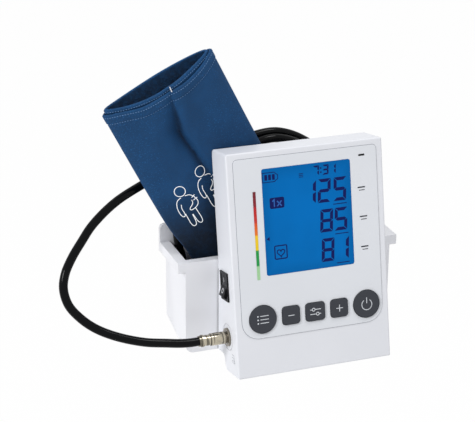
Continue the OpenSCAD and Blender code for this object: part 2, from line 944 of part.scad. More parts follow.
module connector_collar() {
    slit_w = 1.4;
    slit_l = 4.5;
    end = collar_start + collar_l;
    color("#c8c2b4") on_socket() difference() {
        ring_out(collar_start, end, collar_d, neck_d + 2 * run_fit);
        for (a = [0, 180]) rotate([a, 0, 0]) translate([-end + 2, -slit_w / 2, neck_d / 2 - 1])
            cube([slit_l, slit_w, 3]);
    }
}

module connector_sleeve() {
    color("#aaa497") on_socket() {
        ring_out(sleeve_start, connector_l, neck_d, bore_d);
        ring_out(ring_start, ring_start + ring_l, neck_d + 1, bore_d);
    }
}

// Point on the socket's axis in the part's frame
function axis_point(out) = [unit_x - half_w - out,
    front_y + socket_back * cos(lean) + socket_v * sin(lean),
    -unit_drop - socket_back * sin(lean) + socket_v * cos(lean)];

// Cuff directions and places: down its length, and across it to the right
cuff_down = [sin(cuff_tilt), 0, -cos(cuff_tilt)];
cuff_across = [cos(cuff_tilt), 0, sin(cuff_tilt)];
cuff_mouth = [mouth_x, 0, mouth_z];
function cuff_at(s, col) = lookup(s, [for (r = cuff_rows) [r[0], r[col]]]);
function cuff_point(s, c, y) = cuff_mouth + s * cuff_down + c * cuff_across + [0, y, 0];
function cuff_y(s) = cuff_at(s, 2) - basket_d;
port_y = cuff_y(cuff_l);
port_end = cuff_point(inner_end + port_l, port_c, port_y);
port_lead = cuff_point(inner_end + port_l + hose_d, port_c, port_y);
hose_path = concat([axis_point(connector_l), axis_point(connector_l + hose_d)], hose_out,
    hose_first_loop, hose_second_loop, hose_to_port, [port_lead, port_end]);

module air_hose() {
    echo(hose_length = path_length(hose_path), rings = len(hose_path));
    color("#15161a") tube(hose_path, hose_d, hose_sides);
}

module cuff_port() {
    color("#1b1c20") translate(cuff_point(inner_end, port_c, port_y))
        rotate([0, 180 - cuff_tilt, 0]) cylinder(d = port_d, h = port_l);
}

// One turn of the cuff: flattened rings down its length, drawn inwards by an inset
function sign_power(x, p) = sign(x) * pow(abs(x), p);
function cuff_ring(s, inset) = let(a = cuff_w / 2 - inset, b = cuff_at(s, 1) / 2 - inset)
    [for (k = [0:cuff_sides - 1]) let(t = 360 * k / cuff_sides)
        cuff_point(s, a * sign_power(cos(t), 2 / cuff_round),
            cuff_y(s) + b * sign_power(sin(t), 2 / cuff_round))];

function stations(from, to) =
    concat([from], [for (r = cuff_rows) if (r[0] > from && r[0] < to) r[0]], [to]);
function backwards(v) = [for (i = [len(v) - 1:-1:0]) v[i]];

module cuff_outer_turn() {
    rows = stations(0, cuff_l);
    color("#1b3a6b") skin(concat([for (s = rows) cuff_ring(s, 0)],
        [for (s = backwards(rows)) cuff_ring(s, cuff_t)]), closed = true);
}

module cuff_inner_turn() {
    inset = cuff_t + cuff_fit;
    color("#16305a") skin(concat(
        [for (s = backwards(stations(-inner_out, inner_pocket))) cuff_ring(s, inset + cuff_t)],
        [for (s = stations(-inner_out, inner_end)) cuff_ring(s, inset)]));
}

// Air circuit inside the unit
module air_manifold() {
    spout = spout_l + 1;
    color("#d9dbdf") on_unit() {
        translate([manifold_left, socket_back, socket_v])
            along_side(manifold_l, manifold_deep, manifold_high);
        translate([manifold_left - spout_l, socket_back, socket_v]) rod_x(nipple_d, spout);
        translate([manifold_right - 1, socket_back, pump_port_v]) rod_x(nipple_d, spout);
        translate([valve_u, socket_back, socket_v + manifold_high / 2 - 1])
            cylinder(d = nipple_d, h = spout);
    }
}

// Short air tube from x = 0 to l
module air_tube(l) {
    color("#e9e4da") difference() {
        rod_x(tube_d, l);
        translate([-1, 0, 0]) rod_x(tube_bore, l + 2);
    }
}

module inlet_tube() {
    on_unit() translate([socket_in + seat_fit - half_w, socket_back, socket_v])
        air_tube(inlet_tube_l - 2 * seat_fit);
}

module pump_tube() {
    on_unit() translate([manifold_right + seat_fit, socket_back, pump_port_v])
        air_tube(pump_tube_l - 2 * seat_fit);
}

module valve_tube() {
    top = socket_v + manifold_high / 2 + seat_fit;
    on_unit() translate([valve_u, socket_back, top]) rotate([0, -90, 0])
        air_tube(valve_tube_l);
}

module release_valve() {
    base = socket_v + manifold_high / 2 + valve_tube_l + 2 * seat_fit;
    color("#5b6068") on_unit() {
        translate([valve_u - valve_w / 2, socket_back, base + valve_h / 2])
            along_side(valve_w, valve_deep, valve_h);
        translate([valve_u, socket_back, base - valve_spout])
            cylinder(d = nipple_d, h = valve_spout + 1);
    }
}

module pressure_sensor() {
    front = board_back;
    color("#3a3d42") on_unit() translate([valve_u, front, socket_v])
        rod_y(sensor_d, socket_back - manifold_deep / 2 - front - seat_fit);
}

// Pump: head, motor and the shaft that drives the head
module pump_head() {
    color("#2f3237") on_unit() difference() {
        union() {
            translate([head_left, pump_back, pump_v]) rod_x(head_d, head_l);
            translate([head_left - spout_l, socket_back, pump_port_v])
                rod_x(nipple_d, spout_l + 1);
        }
        translate([head_left + head_wall, pump_back, pump_v])
            rod_x(head_d - 2 * head_wall, head_l);
    }
}

module pump_motor() {
    color("#a7a9ad") on_unit() translate([head_right + seat_fit, pump_back, pump_v])
        difference() {
            rod_x(pump_d, motor_l);
            translate([-1, 0, 0]) rod_x(shaft_d + 2 * run_fit, motor_bore_l + 1);
        }
}

module pump_shaft() {
    color("silver") on_unit() translate([head_left + shaft_in, pump_back, pump_v]) {
        rod_x(shaft_d, head_l - shaft_in + motor_bore_l - 1);
        translate([0, 0, rotor_off]) rod_x(rotor_d, rotor_l);
    }
}

module pump_cradle() {
    color("#34373c") on_unit() difference() {
        translate([head_right + cradle_in, (board_back + pump_back + seat_fit) / 2, pump_v])
            along_side(cradle_l, pump_back - board_back - seat_fit, cradle_h);
        translate([head_right, pump_back, pump_v])
            rod_x(pump_d + 2 * run_fit, motor_l + 1);
    }
}

module buzzer() {
    color("#1f2024") on_unit() translate([buzzer_u, board_back, chip_v])
        rod_y(buzzer_d, buzzer_t);
}

// Power inlet in the right side
module inlet_hole(gap) {
    translate([inner_half - 1, rocker_back, rocker_v]) rod_x(inlet_d + 2 * gap, shell_t + 2);
}

module power_inlet() {
    color("#1f2124") on_unit() translate([half_w - inlet_l, rocker_back, rocker_v])
        difference() {
            union() {
                along_side(inlet_l - shell_t - seat_fit, inlet_w, inlet_w);
                rod_x(inlet_d, inlet_l);
            }
            translate([inlet_floor, 0, 0]) rod_x(inlet_bore_d, inlet_l);
            translate([-1, 0, 0]) rod_x(pin_d + 2 * run_fit, inlet_floor + 2);
        }
}

module inlet_pin() {
    color("silver") on_unit() translate([half_w - inlet_l - pin_back, rocker_back, rocker_v])
        rod_x(pin_d, inlet_l + 1);
}

// Batteries behind a door in the rear cover
module battery_tray() {
    outer_w = tray_in_w + 2 * tray_t;
    outer_h = tray_in_h + 2 * tray_t;
    color("#dfe2e6") on_unit() translate([0, tray_front, tray_v]) difference() {
        slab(tray_back - tray_front) square([outer_w, outer_h], center = true);
        translate([0, tray_t, 0]) slab(unit_t) square([tray_in_w, tray_in_h], center = true);
    }
}

module battery_contacts() {
    plate = cell_d - 4;
    deep = tray_front + tray_t + cell_d / 2;
    color("#c9ccd1") on_unit() for (i = [0:3]) for (z = [-1, 1])
        translate([(i - 1.5) * cell_pitch, deep, tray_v + z * (tray_in_h / 2 - contact_t / 2 - 0.05)])
            union() {
                cube([plate, plate, contact_t], center = true);
                translate([0, 0, -z * (contact_t + spring_l) / 2])
                    cylinder(d = spring_d, h = spring_l, center = true);
            }
}

module battery_cell(i) {
    color("#b9862f") on_unit()
        translate([(i - 2.5) * cell_pitch, tray_front + tray_t + cell_d / 2 + seat_fit,
            tray_v - cell_l / 2]) cylinder(d = cell_d, h = cell_l);
}

module door_hole(gap) {
    translate([0, unit_t - door_sunk, tray_v]) slab(2)
        rounded(door_w + 2 * gap, door_h + 2 * gap, door_r);
    translate([0, unit_t - 2 * shell_t, tray_v]) slab(3 * shell_t)
        square([tray_in_w, tray_in_h], center = true);
    translate([0, unit_t / 2, door_screw_v()]) rod_y(small_screw_d, unit_t);
}

function door_screw_v() = tray_v + tray_in_h / 2 + door_screw_up;

module battery_door() {
    color("#e6e9ed") on_unit() difference() {
        translate([0, unit_t - door_t, tray_v]) slab(door_t) rounded(door_w, door_h, door_r);
        translate([0, unit_t - 2, door_screw_v()])
            rod_y(small_screw_d + 2 * screw_fit, door_t + 2);
    }
}

module door_screw() {
    color("silver") on_unit() {
        translate([0, unit_t, door_screw_v()]) rod_y(small_head_d, small_head_t);
        translate([0, unit_t - door_screw_in, door_screw_v()])
            rod_y(small_screw_d - 2 * run_fit, door_screw_in + 0.1);
    }
}

wall_basket();
front_shell();
rear_cover();
case_screws();
basket_screws();
front_panel();
display_lens();
display_glass();
backlight();
display_frame();
scale_strip();
indicator_window();
mode_key();
minus_key();
set_key();
plus_key();
start_key();
key_mat();
main_board();
board_screws();
processor();
rocker_frame();
rocker();
rocker_terminals();
hose_socket();
socket_nut();
connector_body();
connector_collar();
connector_sleeve();
air_hose();
cuff_port();
cuff_outer_turn();
cuff_inner_turn();
air_manifold();
inlet_tube();
pump_tube();
valve_tube();
release_valve();
pressure_sensor();
pump_head();
pump_motor();
pump_shaft();
pump_cradle();
buzzer();
power_inlet();
inlet_pin();
battery_tray();
battery_contacts();
battery_cell(1);  // battery_cell_1
battery_cell(2);  // battery_cell_2
battery_cell(3);  // battery_cell_3
battery_cell(4);  // battery_cell_4
battery_door();
door_screw();
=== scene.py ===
"""Wall-mounted blood pressure monitor: finishes, display print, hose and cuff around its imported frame."""
import logging
import math
from dataclasses import dataclass, field
from enum import Enum
from typing import Callable, ClassVar, Sequence, TypeVar

import bmesh
import bpy
from mathutils import Matrix, Vector, noise


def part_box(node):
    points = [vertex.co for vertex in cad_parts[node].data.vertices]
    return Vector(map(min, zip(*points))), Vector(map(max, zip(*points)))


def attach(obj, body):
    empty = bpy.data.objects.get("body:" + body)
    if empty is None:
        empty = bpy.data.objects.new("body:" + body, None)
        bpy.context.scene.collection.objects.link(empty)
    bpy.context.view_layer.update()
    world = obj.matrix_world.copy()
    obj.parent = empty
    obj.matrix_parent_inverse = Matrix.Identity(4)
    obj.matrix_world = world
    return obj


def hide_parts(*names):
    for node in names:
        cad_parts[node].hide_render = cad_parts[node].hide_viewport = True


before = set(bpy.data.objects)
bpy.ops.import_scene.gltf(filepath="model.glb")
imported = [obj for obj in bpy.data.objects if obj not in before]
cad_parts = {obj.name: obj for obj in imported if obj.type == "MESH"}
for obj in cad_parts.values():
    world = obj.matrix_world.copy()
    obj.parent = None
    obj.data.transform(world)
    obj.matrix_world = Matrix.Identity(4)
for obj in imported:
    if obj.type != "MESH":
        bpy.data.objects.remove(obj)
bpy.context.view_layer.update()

MM = 0.001
ROOT = "monitor"
WHITE_LIGHT = (1.0, 1.0, 1.0, 1.0)
SHADER_SAMPLES = 6
MIX_SOCKETS = (0, 6, 7)  # a colour Mix node's factor, first colour and second colour

log = logging.getLogger("monitor")

Point = Sequence[float]
Colour = tuple[float, float, float, float]
Path = Sequence[tuple[float, float]]
Place = Callable[[float, float, float], Vector]
Amount = TypeVar("Amount", float, Vector)


def colour(red: int, green: int, blue: int) -> Colour:
    """Turns a display colour into the linear colour that shaders take.

    Args:
        red: red from 0 to 255.
        green: green from 0 to 255.
        blue: blue from 0 to 255.

    Returns:
        The linear colour with full alpha.
    """
    def linear(level: int) -> float:
        """Linear value of one channel."""
        share = level / 255
        return share / 12.92 if share <= 0.04045 else ((share + 0.055) / 1.055) ** 2.4
    return (linear(red), linear(green), linear(blue), 1.0)


def shade(base: Colour, factor: float) -> Colour:
    """The same colour, darker or lighter by a factor."""
    return (*(min(1.0, channel * factor) for channel in base[:3]), 1.0)


def smooth_step(low: float, high: float, value: float) -> float:
    """Rises smoothly from 0 at low to 1 at high."""
    share = min(1.0, max(0.0, (value - low) / (high - low)))
    return share * share * (3 - 2 * share)


def curve(t: float, here: Amount, start: Amount, there: Amount, stop: Amount) -> Amount:
    """Follows a smooth curve from one value to another.

    Args:
        t: how far along it is, from 0 to 1.
        here: the first value.
        start: the slope that it leaves with.
        there: the last value.
        stop: the slope that it arrives with.

    Returns:
        The value there.
    """
    return (here * (2 * t**3 - 3 * t**2 + 1) + start * (t**3 - 2 * t**2 + t)
            + there * (3 * t**2 - 2 * t**3) + stop * (t**3 - t**2))


def along(table: Sequence[Point], value: float, column: int = 1) -> float:
    """Reads a table of rows with a smooth curve between them.

    Args:
        table: rows whose first entry rises from row to row.
        value: where to read it.
        column: which entry of the rows to read.

    Returns:
        The entry at that value, held at the table's ends.
    """
    if value <= table[0][0]:
        return table[0][column]
    for index in range(len(table) - 1):
        left, right = table[index], table[index + 1]
        if value <= right[0]:
            span = right[0] - left[0]
            before = table[max(0, index - 1)]
            after = table[min(len(table) - 1, index + 2)]
            slope_in = (right[column] - before[column]) / (right[0] - before[0]) * span
            slope_out = (after[column] - left[column]) / (after[0] - left[0]) * span
            return curve((value - left[0]) / span, left[column], slope_in, right[column], slope_out)
    return table[-1][column]


class Wired:
    """A number in a shader tree that arithmetic can be written on."""

    def __init__(self, tree: "Tree", socket: bpy.types.NodeSocket) -> None:
        """Wraps one output socket of a tree."""
        self.tree = tree
        self.socket = socket

    def _maths(self, operation: str, *values: object) -> "Wired":
        """Adds one Math node to the tree and returns its result."""
        made = self.tree.node("ShaderNodeMath", {"operation": operation}, dict(enumerate(values)))
        return Wired(self.tree, made.outputs[0])

    def __add__(self, other: object) -> "Wired":
        """This plus a number or another socket."""
        return self._maths("ADD", self, other)

    __radd__ = __add__

    def __mul__(self, other: object) -> "Wired":
        """This times a number or another socket."""
        return self._maths("MULTIPLY", self, other)

    __rmul__ = __mul__

    def __sub__(self, other: object) -> "Wired":
        """This less a number or another socket."""
        return self._maths("SUBTRACT", self, other)

    def __rsub__(self, other: object) -> "Wired":
        """A number less this."""
        return self._maths("SUBTRACT", other, self)

    def sine(self) -> "Wired":
        """Sine of this, in radians."""
        return self._maths("SINE", self)

    def absolute(self) -> "Wired":
        """This without its sign."""
        return self._maths("ABSOLUTE", self)

    def above(self, other: object) -> "Wired":
        """1 where this is more than the other, else 0."""
        return self._maths("GREATER_THAN", self, other)

    def larger(self, other: object) -> "Wired":
        """The larger of this and another."""
        return self._maths("MAXIMUM", self, other)

    def between(self, low: float, high: float) -> "Wired":
        """Rises smoothly from 0 to 1.

        Args:
            low: where it is still 0.
            high: where it reaches 1.

        Returns:
            The share at this number.
        """
        made = self.tree.node("ShaderNodeMapRange", {"interpolation_type": "SMOOTHSTEP"},
                              {"Value": self, "From Min": low, "From Max": high})
        return Wired(self.tree, made.outputs[0])


class Tree:
    """A node tree of any kind, whose nodes are added with their settings, values and links."""

    def __init__(self, tree: bpy.types.NodeTree) -> None:
        """Wraps a node tree."""
        self.tree = tree

    def node(self, kind: str, settings: dict[str, object] | None = None,
             inputs: dict[object, object] | None = None) -> bpy.types.Node:
        """Adds a node.

        Args:
            kind: the node's type.
            settings: its own settings, set first; "stops" fills a colour ramp.
            inputs: values or links by socket name or number.

        Returns:
            The node.
        """
        made = self.tree.nodes.new(kind)
        for name, value in (settings or {}).items():
            if name == "stops":
                elements = made.color_ramp.elements
                while len(elements) < len(value):
                    elements.new(0.5)
                for element, (position, tint) in zip(elements, value):
                    element.position = position
                    element.color = tint
            else:
                setattr(made, name, value)
        for name, value in (inputs or {}).items():
            self.feed(made.inputs[name], value)
        return made

    def feed(self, socket: bpy.types.NodeSocket, value: object) -> None:
        """Sets a socket to a value, or links another socket to it.

        Args:
            socket: the input socket.
            value: a value, an output socket or a wired number.
        """
        if isinstance(value, Wired):
            value = value.socket
        if isinstance(value, bpy.types.NodeSocket):
            self.tree.links.new(value, socket)
        else:
            socket.default_value = value

    def looked_at(self) -> Wired:
        """Tells the camera's own rays, and those seen in gloss or through glass, from the rest.

        Returns:
            1 for such rays, else 0.
        """
        ray = self.node("ShaderNodeLightPath")
        camera, glossy, through = (Wired(self, ray.outputs[f"Is {kind} Ray"])
                                   for kind in ("Camera", "Glossy", "Transmission"))
        return camera.larger(glossy).larger(through)


class Graph(Tree):
    """The node tree of one material, with a Principled shader at its end."""

    def __init__(self, name: str) -> None:
        """Starts a material.

        Args:
            name: the material's name.
        """
        self.material = bpy.data.materials.new(name)
        self.material.use_nodes = True
        super().__init__(self.material.node_tree)
        self.shader = next(n for n in self.tree.nodes if n.type == "BSDF_PRINCIPLED")

    def set(self, **inputs: object) -> None:
        """Sets the Principled shader's sockets, named with underscores for spaces."""
        for name, value in inputs.items():
            self.feed(self.shader.inputs[name.replace("_", " ")], value)

    def place(self) -> bpy.types.NodeSocket:
        """Object coordinates, in metres."""
        return self.node("ShaderNodeTexCoord").outputs["Object"]

    def place_from(self, origin: Point) -> bpy.types.NodeSocket:
        """Object coordinates measured from a point, in metres."""
        return self.node("ShaderNodeVectorMath", {"operation": "SUBTRACT"},
                         {0: self.place(), 1: origin}).outputs[0]

    def split(self, vector: bpy.types.NodeSocket) -> tuple[Wired, Wired, Wired]:
        """The three numbers of a vector."""
        made = self.node("ShaderNodeSeparateXYZ", inputs={0: vector})
        return tuple(Wired(self, output) for output in made.outputs)

    def noise(self, vector: bpy.types.NodeSocket, scale: float, detail: float = 2.0) -> Wired:
        """Cloudy noise about 0.5 at a scale per metre."""
        made = self.node("ShaderNodeTexNoise", inputs={"Vector": vector, "Scale": scale, "Detail": detail})
        return Wired(self, made.outputs[0])

    def stretched(self, vector: bpy.types.NodeSocket, scale: Point) -> bpy.types.NodeSocket:
        """Coordinates stretched along each axis."""
        return self.node("ShaderNodeMapping", inputs={"Vector": vector, "Scale": scale}).outputs[0]

    def mix(self, factor: object, first: object, second: object) -> bpy.types.NodeSocket:
        """A colour from the first to the second by a factor.

        Args:
            factor: 0 for the first colour, 1 for the second.
            first: a colour or its socket.
            second: a colour or its socket.

        Returns:
            The mixed colour's socket.
        """
        made = self.node("ShaderNodeMix", {"data_type": "RGBA"})
        for index, value in zip(MIX_SOCKETS, (factor, first, second)):
            self.feed(made.inputs[index], value)
        return made.outputs[2]

    def open_air(self, reach: float) -> Wired:
        """1 on open surfaces, less in crevices, where shade is painted in."""
        made = self.node("ShaderNodeAmbientOcclusion", {"samples": SHADER_SAMPLES}, {"Distance": reach})
        return Wired(self, made.outputs["AO"])

    def rounded(self, radius: float) -> bpy.types.NodeSocket:
        """Normals that round each edge by a radius."""
        return self.node("ShaderNodeBevel", {"samples": SHADER_SAMPLES}, {"Radius": radius}).outputs[0]

    def bump(self, height: Wired, depth: float, normal: object = None) -> bpy.types.NodeSocket:
        """Normals of a relief.

        Args:
            height: the relief from 0 to 1.
            depth: how deep it is, in metres.
            normal: the normals that it is laid on.

        Returns:
            The socket of the normals.
        """
        inputs = {"Strength": 1.0, "Distance": depth, "Height": height}
        if normal is not None:
            inputs["Normal"] = normal
        return self.node("ShaderNodeBump", inputs=inputs).outputs[0]


@dataclass(frozen=True)
class Coat:
    """A finish's name and base colour. Each kind of finish dresses its shader in its own way."""

    name: str
    base: Colour

    def dress(self, graph: Graph) -> None:
        """Sets the shader's sockets."""
        raise NotImplementedError

    def tone(self, factor: float) -> Colour:
        """The base colour, darker or lighter by a factor."""
        return shade(self.base, factor)

    def material(self) -> bpy.types.Material:
        """Builds the material.

        Returns:
            The material, dressed.
        """
        graph = Graph(self.name)
        self.dress(graph)
        return graph.material


@dataclass(frozen=True)
class MouldedPlastic(Coat):
    """Injection-moulded plastic with a fine satin grain and softly rounded edges."""

    roughness: float = 0.42
    grain: float = 2400
    grain_depth: float = 0.000012
    edge: float = 0.0004
    crevice: float = 0.006
    gloss: float = 0.35
    darkest: float = 0.985
    palest: float = 1.015
    crevice_shade: float = 0.62
    handling: float = 0.16

    def dress(self, graph: Graph) -> None:
        """Sets a faintly clouded colour, painted shade in crevices, uneven gloss and the grain.

        Args:
            graph: the material's nodes.
        """
        place = graph.place()
        broad = graph.noise(place, scale=14).between(0.3, 0.7)
        handled = graph.noise(place, scale=95, detail=4)
        fine = graph.noise(place, scale=self.grain, detail=1)
        # painted shade: crevices take the darker tone
        unshaded = graph.open_air(self.crevice).between(0.1, 0.75)
        tint = graph.mix(broad, self.tone(self.darkest), self.tone(self.palest))
        graph.set(Base_Color=graph.mix(unshaded, self.tone(self.crevice_shade), tint),
                  Roughness=self.roughness + (handled - 0.5) * self.handling, Specular_IOR_Level=self.gloss,
                  Normal=graph.bump(fine, self.grain_depth, graph.rounded(self.edge)))


@dataclass(frozen=True)
class LitDisplay(Coat):
    """Bright blue lit window: even colour, slightly darker to its rim, under a glossy face."""

    glow: float
    centre: tuple[float, float, float]
    half_width: float
    half_height: float
    rim: tuple[float, float] = (0.72, 1.05)
    at_rim: float = 0.8
    darkest: float = 0.94
    palest: float = 1.05
    roughness: float = 0.3
    gloss: float = 0.05
    edge: float = 0.0003

    def dress(self, graph: Graph) -> None:
        """Sets the lit colour, which is its glow too, and a faintly clouded gloss.

        Args:
            graph: the material's nodes.
        """
        across, _, high = graph.split(graph.place_from(self.centre))
        side = (across * (1 / self.half_width)).absolute()
        rise = (high * (1 / self.half_height)).absolute()
        cloud = graph.noise(graph.place(), scale=26).between(0.3, 0.7)
        lit = graph.mix(cloud, self.tone(self.darkest), self.tone(self.palest))
        lit = graph.mix(side.larger(rise).between(*self.rim), lit, self.tone(self.at_rim))
        graph.set(Base_Color=lit, Emission_Color=lit, Emission_Strength=self.glow,
                  Roughness=self.roughness + cloud * 0.06, Specular_IOR_Level=self.gloss,
                  Normal=graph.rounded(self.edge))


@dataclass(frozen=True)
class ScaleInk(Coat):
    """Printed scale whose colour changes along the front's slope, lowest stop first, with pale specks."""

    foot: tuple[float, float, float]
    slope: tuple[float, float, float]
    length: float
    stops: tuple[tuple[float, Colour], ...]
    specks: float = 0.05
    roughness: float = 0.32
    gloss: float = 0.06

    def dress(self, graph: Graph) -> None:
        """Sets the colour at each height and an uneven gloss.

        Args:
            graph: the material's nodes.
        """
        height = Wired(graph, graph.node("ShaderNodeVectorMath", {"operation": "DOT_PRODUCT"}, {
            0: graph.place_from(self.foot), 1: self.slope}).outputs["Value"]) * (1 / self.length)
        tint = graph.node("ShaderNodeValToRGB", {"stops": self.stops}, {"Fac": height}).outputs[0]
        speck = graph.noise(graph.place(), scale=1500).between(0.25, 0.75)
        graph.set(Base_Color=graph.mix(speck * self.specks, tint, self.base),
                  Roughness=self.roughness + speck * 0.1, Specular_IOR_Level=self.gloss)


@dataclass(frozen=True)
class Ink(Coat):
    """Screen-printed or display ink with a slightly uneven coat."""

    roughness: float = 0.4
    glow: float = 0.0
    gloss: float = 0.3
    thick: float = 0.9
    thin: float = 1.06

    def dress(self, graph: Graph) -> None:
        """Sets the patchy colour, the gloss and any glow.

        Args:
            graph: the material's nodes.
        """
        patch = graph.noise(graph.place(), scale=900, detail=3).between(0.25, 0.75)
        tint = graph.mix(patch, self.tone(self.thick), self.tone(self.thin))
        graph.set(Base_Color=tint, Roughness=self.roughness + patch * 0.1, Specular_IOR_Level=self.gloss)
        if self.glow:
            graph.set(Emission_Color=tint, Emission_Strength=self.glow)


@dataclass(frozen=True)
class Rubber(Coat):
    """Moulded rubber or silicone with a dull, slightly dusty skin."""

    roughness: float = 0.5
    dust: float = 0.12
    grain: float = 1400
    grain_depth: float = 0.00002
    edge: float = 0.0006
    gloss: float = 0.35
    dusty: float = 2.4
    dulling: float = 0.14

    def dress(self, graph: Graph) -> None:
        """Sets the colour under its dust, the gloss and the grain.

        Args:
            graph: the material's nodes.
        """
        place = graph.place()
        haze = graph.noise(place, scale=60, detail=5).between(0.4, 0.75)
        fine = graph.noise(place, scale=self.grain)
        graph.set(Base_Color=graph.mix(haze * self.dust, self.base, self.tone(self.dusty)),
                  Roughness=self.roughness + haze * self.dulling, Specular_IOR_Level=self.gloss,
                  Normal=graph.bump(fine, self.grain_depth, graph.rounded(self.edge)))


@dataclass(frozen=True)
class PlatedMetal(Coat):
    """Turned or pressed metal with fine tool lines, some tarnish, painted shade in crevices and, where
    wanted, dark bands round its axis painted in as reflections.
    """

    roughness: float = 0.24
    lines: tuple[float, float, float] = (9000, 60, 60)
    tarnish: float = 0.25
    crevice: float = 0.002
    painted_reflection: float = 0.0
    bands: tuple[float, float, float] = (520, 25, 25)
    tarnished: float = 0.45
    dark_reflection_tone: float = 0.12
    crevice_shade: float = 0.2
    line_depth: float = 0.000006
    edge: float = 0.0003

    def dress(self, graph: Graph) -> None:
        """Sets the stained colour with its painted dark reflection bands and painted crevice shade, the gloss
        and the tool lines.

        Args:
            graph: the material's nodes.
        """
        place = graph.place()
        tooling = graph.noise(graph.stretched(place, self.lines), scale=1)
        stain = graph.noise(place, scale=260, detail=4).between(0.45, 0.7)
        # painted reflection: dark bands round the axis stand in for dark reflections
        band = graph.noise(graph.stretched(place, self.bands), scale=1, detail=1).between(0.5, 0.56)
        # painted shade in crevices
        unshaded = graph.open_air(self.crevice).between(0.2, 0.8)
        tint = graph.mix(stain * self.tarnish, self.base, self.tone(self.tarnished))
        tint = graph.mix(band * self.painted_reflection, tint, self.tone(self.dark_reflection_tone))
        graph.set(Base_Color=graph.mix(unshaded, self.tone(self.crevice_shade), tint),
                  Metallic=1.0, Roughness=self.roughness + tooling * 0.1 + stain * 0.1,
                  Normal=graph.bump(tooling, self.line_depth, graph.rounded(self.edge)))


@dataclass(frozen=True)
class WovenCloth(Coat):
    """Plain-woven nylon on a UV map in metres: yarns over and under, faded folds and lint, with painted shade
    in crevices, in the crease and low at the front.
    """

    pitch: float = 0.00055
    relief: float = 0.00009
    fuzz: float = 0.0
    crevice: float = 0.05
    crevice_shade: float = 0.4
    painted_shade_tone: float = 0.12
    roughness: float = 0.66
    gloss: float = 0.25

    def dress(self, graph: Graph) -> None:
        """Sets the colour in layers over the weave, the gloss, and the relief of yarns and loops.

        Args:
            graph: the material's nodes.
        """
        woven = graph.node("ShaderNodeUVMap", {"uv_map": "weave"}).outputs[0]
        around, down, _ = graph.split(woven)
        weft = (around * (math.pi / self.pitch)).sine()
        warp = (down * (math.pi / self.pitch)).sine()
        over = (weft * warp).above(0.0)
        yarn = over * weft.absolute() + (1 - over) * warp.absolute()
        place = graph.place()
        fold = graph.noise(place, scale=22, detail=3).between(0.3, 0.7)
        handled = graph.noise(place, scale=60, detail=4).between(0.42, 0.7)
        fleck = graph.noise(graph.stretched(woven, (900, 900, 1)), scale=1).between(0.5, 0.8)
        lint = graph.noise(place, scale=700).between(0.66, 0.78)
        worn = (graph.noise(place, scale=16).between(0.46, 0.56)
                * graph.noise(place, scale=1100, detail=1).between(0.58, 0.7))
        tint = graph.mix(fold, self.tone(0.86), self.tone(1.08))
        layers = (
            (handled * 0.45, 1.4),                           # paler where hands rub it
            ((1 - yarn) * 0.35, 0.55),                       # darker between the yarns
            (fleck * 0.3 + lint * (0.16 + self.fuzz), 2.2),  # pale flecks and lint
            (worn * 0.45, 2.4))                              # worn specks
        for share, factor in layers:
            tint = graph.mix(share, tint, self.tone(factor))
        # painted shade in crevices
        tint = graph.mix(graph.open_air(self.crevice).between(0.1, 0.8), self.tone(self.crevice_shade), tint)
        # painted shade and shadow from the fold attribute, in the crease and low at the front
        folded = Wired(graph, graph.node("ShaderNodeAttribute", {"attribute_name": "fold"}).outputs["Fac"])
        tint = graph.mix(folded, tint, self.tone(self.painted_shade_tone))
        nap = graph.noise(place, scale=300, detail=3).between(0.44, 0.6)
        tint = graph.mix(nap * (0.06 + self.fuzz), tint, self.tone(1.3 + self.fuzz))
        loops = graph.noise(place, scale=1300, detail=3)
        height = yarn * (1 - self.fuzz) + loops * (0.3 + self.fuzz * 6)
        graph.set(Base_Color=tint, Roughness=self.roughness + fleck * 0.2, Specular_IOR_Level=self.gloss,
                  Normal=graph.bump(height, self.relief))


@dataclass(frozen=True)
class Laminate(Coat):
    """Green circuit board: solder mask over routed tracks and small pads."""

    tracks: float = 180.0
    pads: float = 420.0
    pad_metal: Colour = colour(214, 200, 150)
    over_track: float = 2.0
    roughness: float = 0.38
    relief: float = 0.00003

    def dress(self, graph: Graph) -> None:
        """Sets the mask's colour, its tracks and the bare metal of the pads.

        Args:
            graph: the material's nodes.
        """
        place = graph.place()
        track = Wired(graph, graph.node("ShaderNodeTexBrick", inputs={
            "Vector": place, "Scale": self.tracks, "Color1": colour(255, 255, 255),
            "Color2": colour(188, 188, 188), "Mortar": colour(0, 0, 0), "Mortar Size": 0.05}).outputs[1])
        pad = Wired(graph, graph.node("ShaderNodeTexVoronoi", inputs={
            "Vector": place, "Scale": self.pads}).outputs["Distance"]).between(0.16, 0.12)
        mask = graph.mix(track * 0.5, self.base, self.tone(self.over_track))
        graph.set(Base_Color=graph.mix(pad, mask, self.pad_metal), Metallic=pad,
                  Roughness=self.roughness - pad * 0.1, Normal=graph.bump(track, self.relief))


WHITE = colour(231, 233, 239)
NAVY = colour(18, 67, 112)


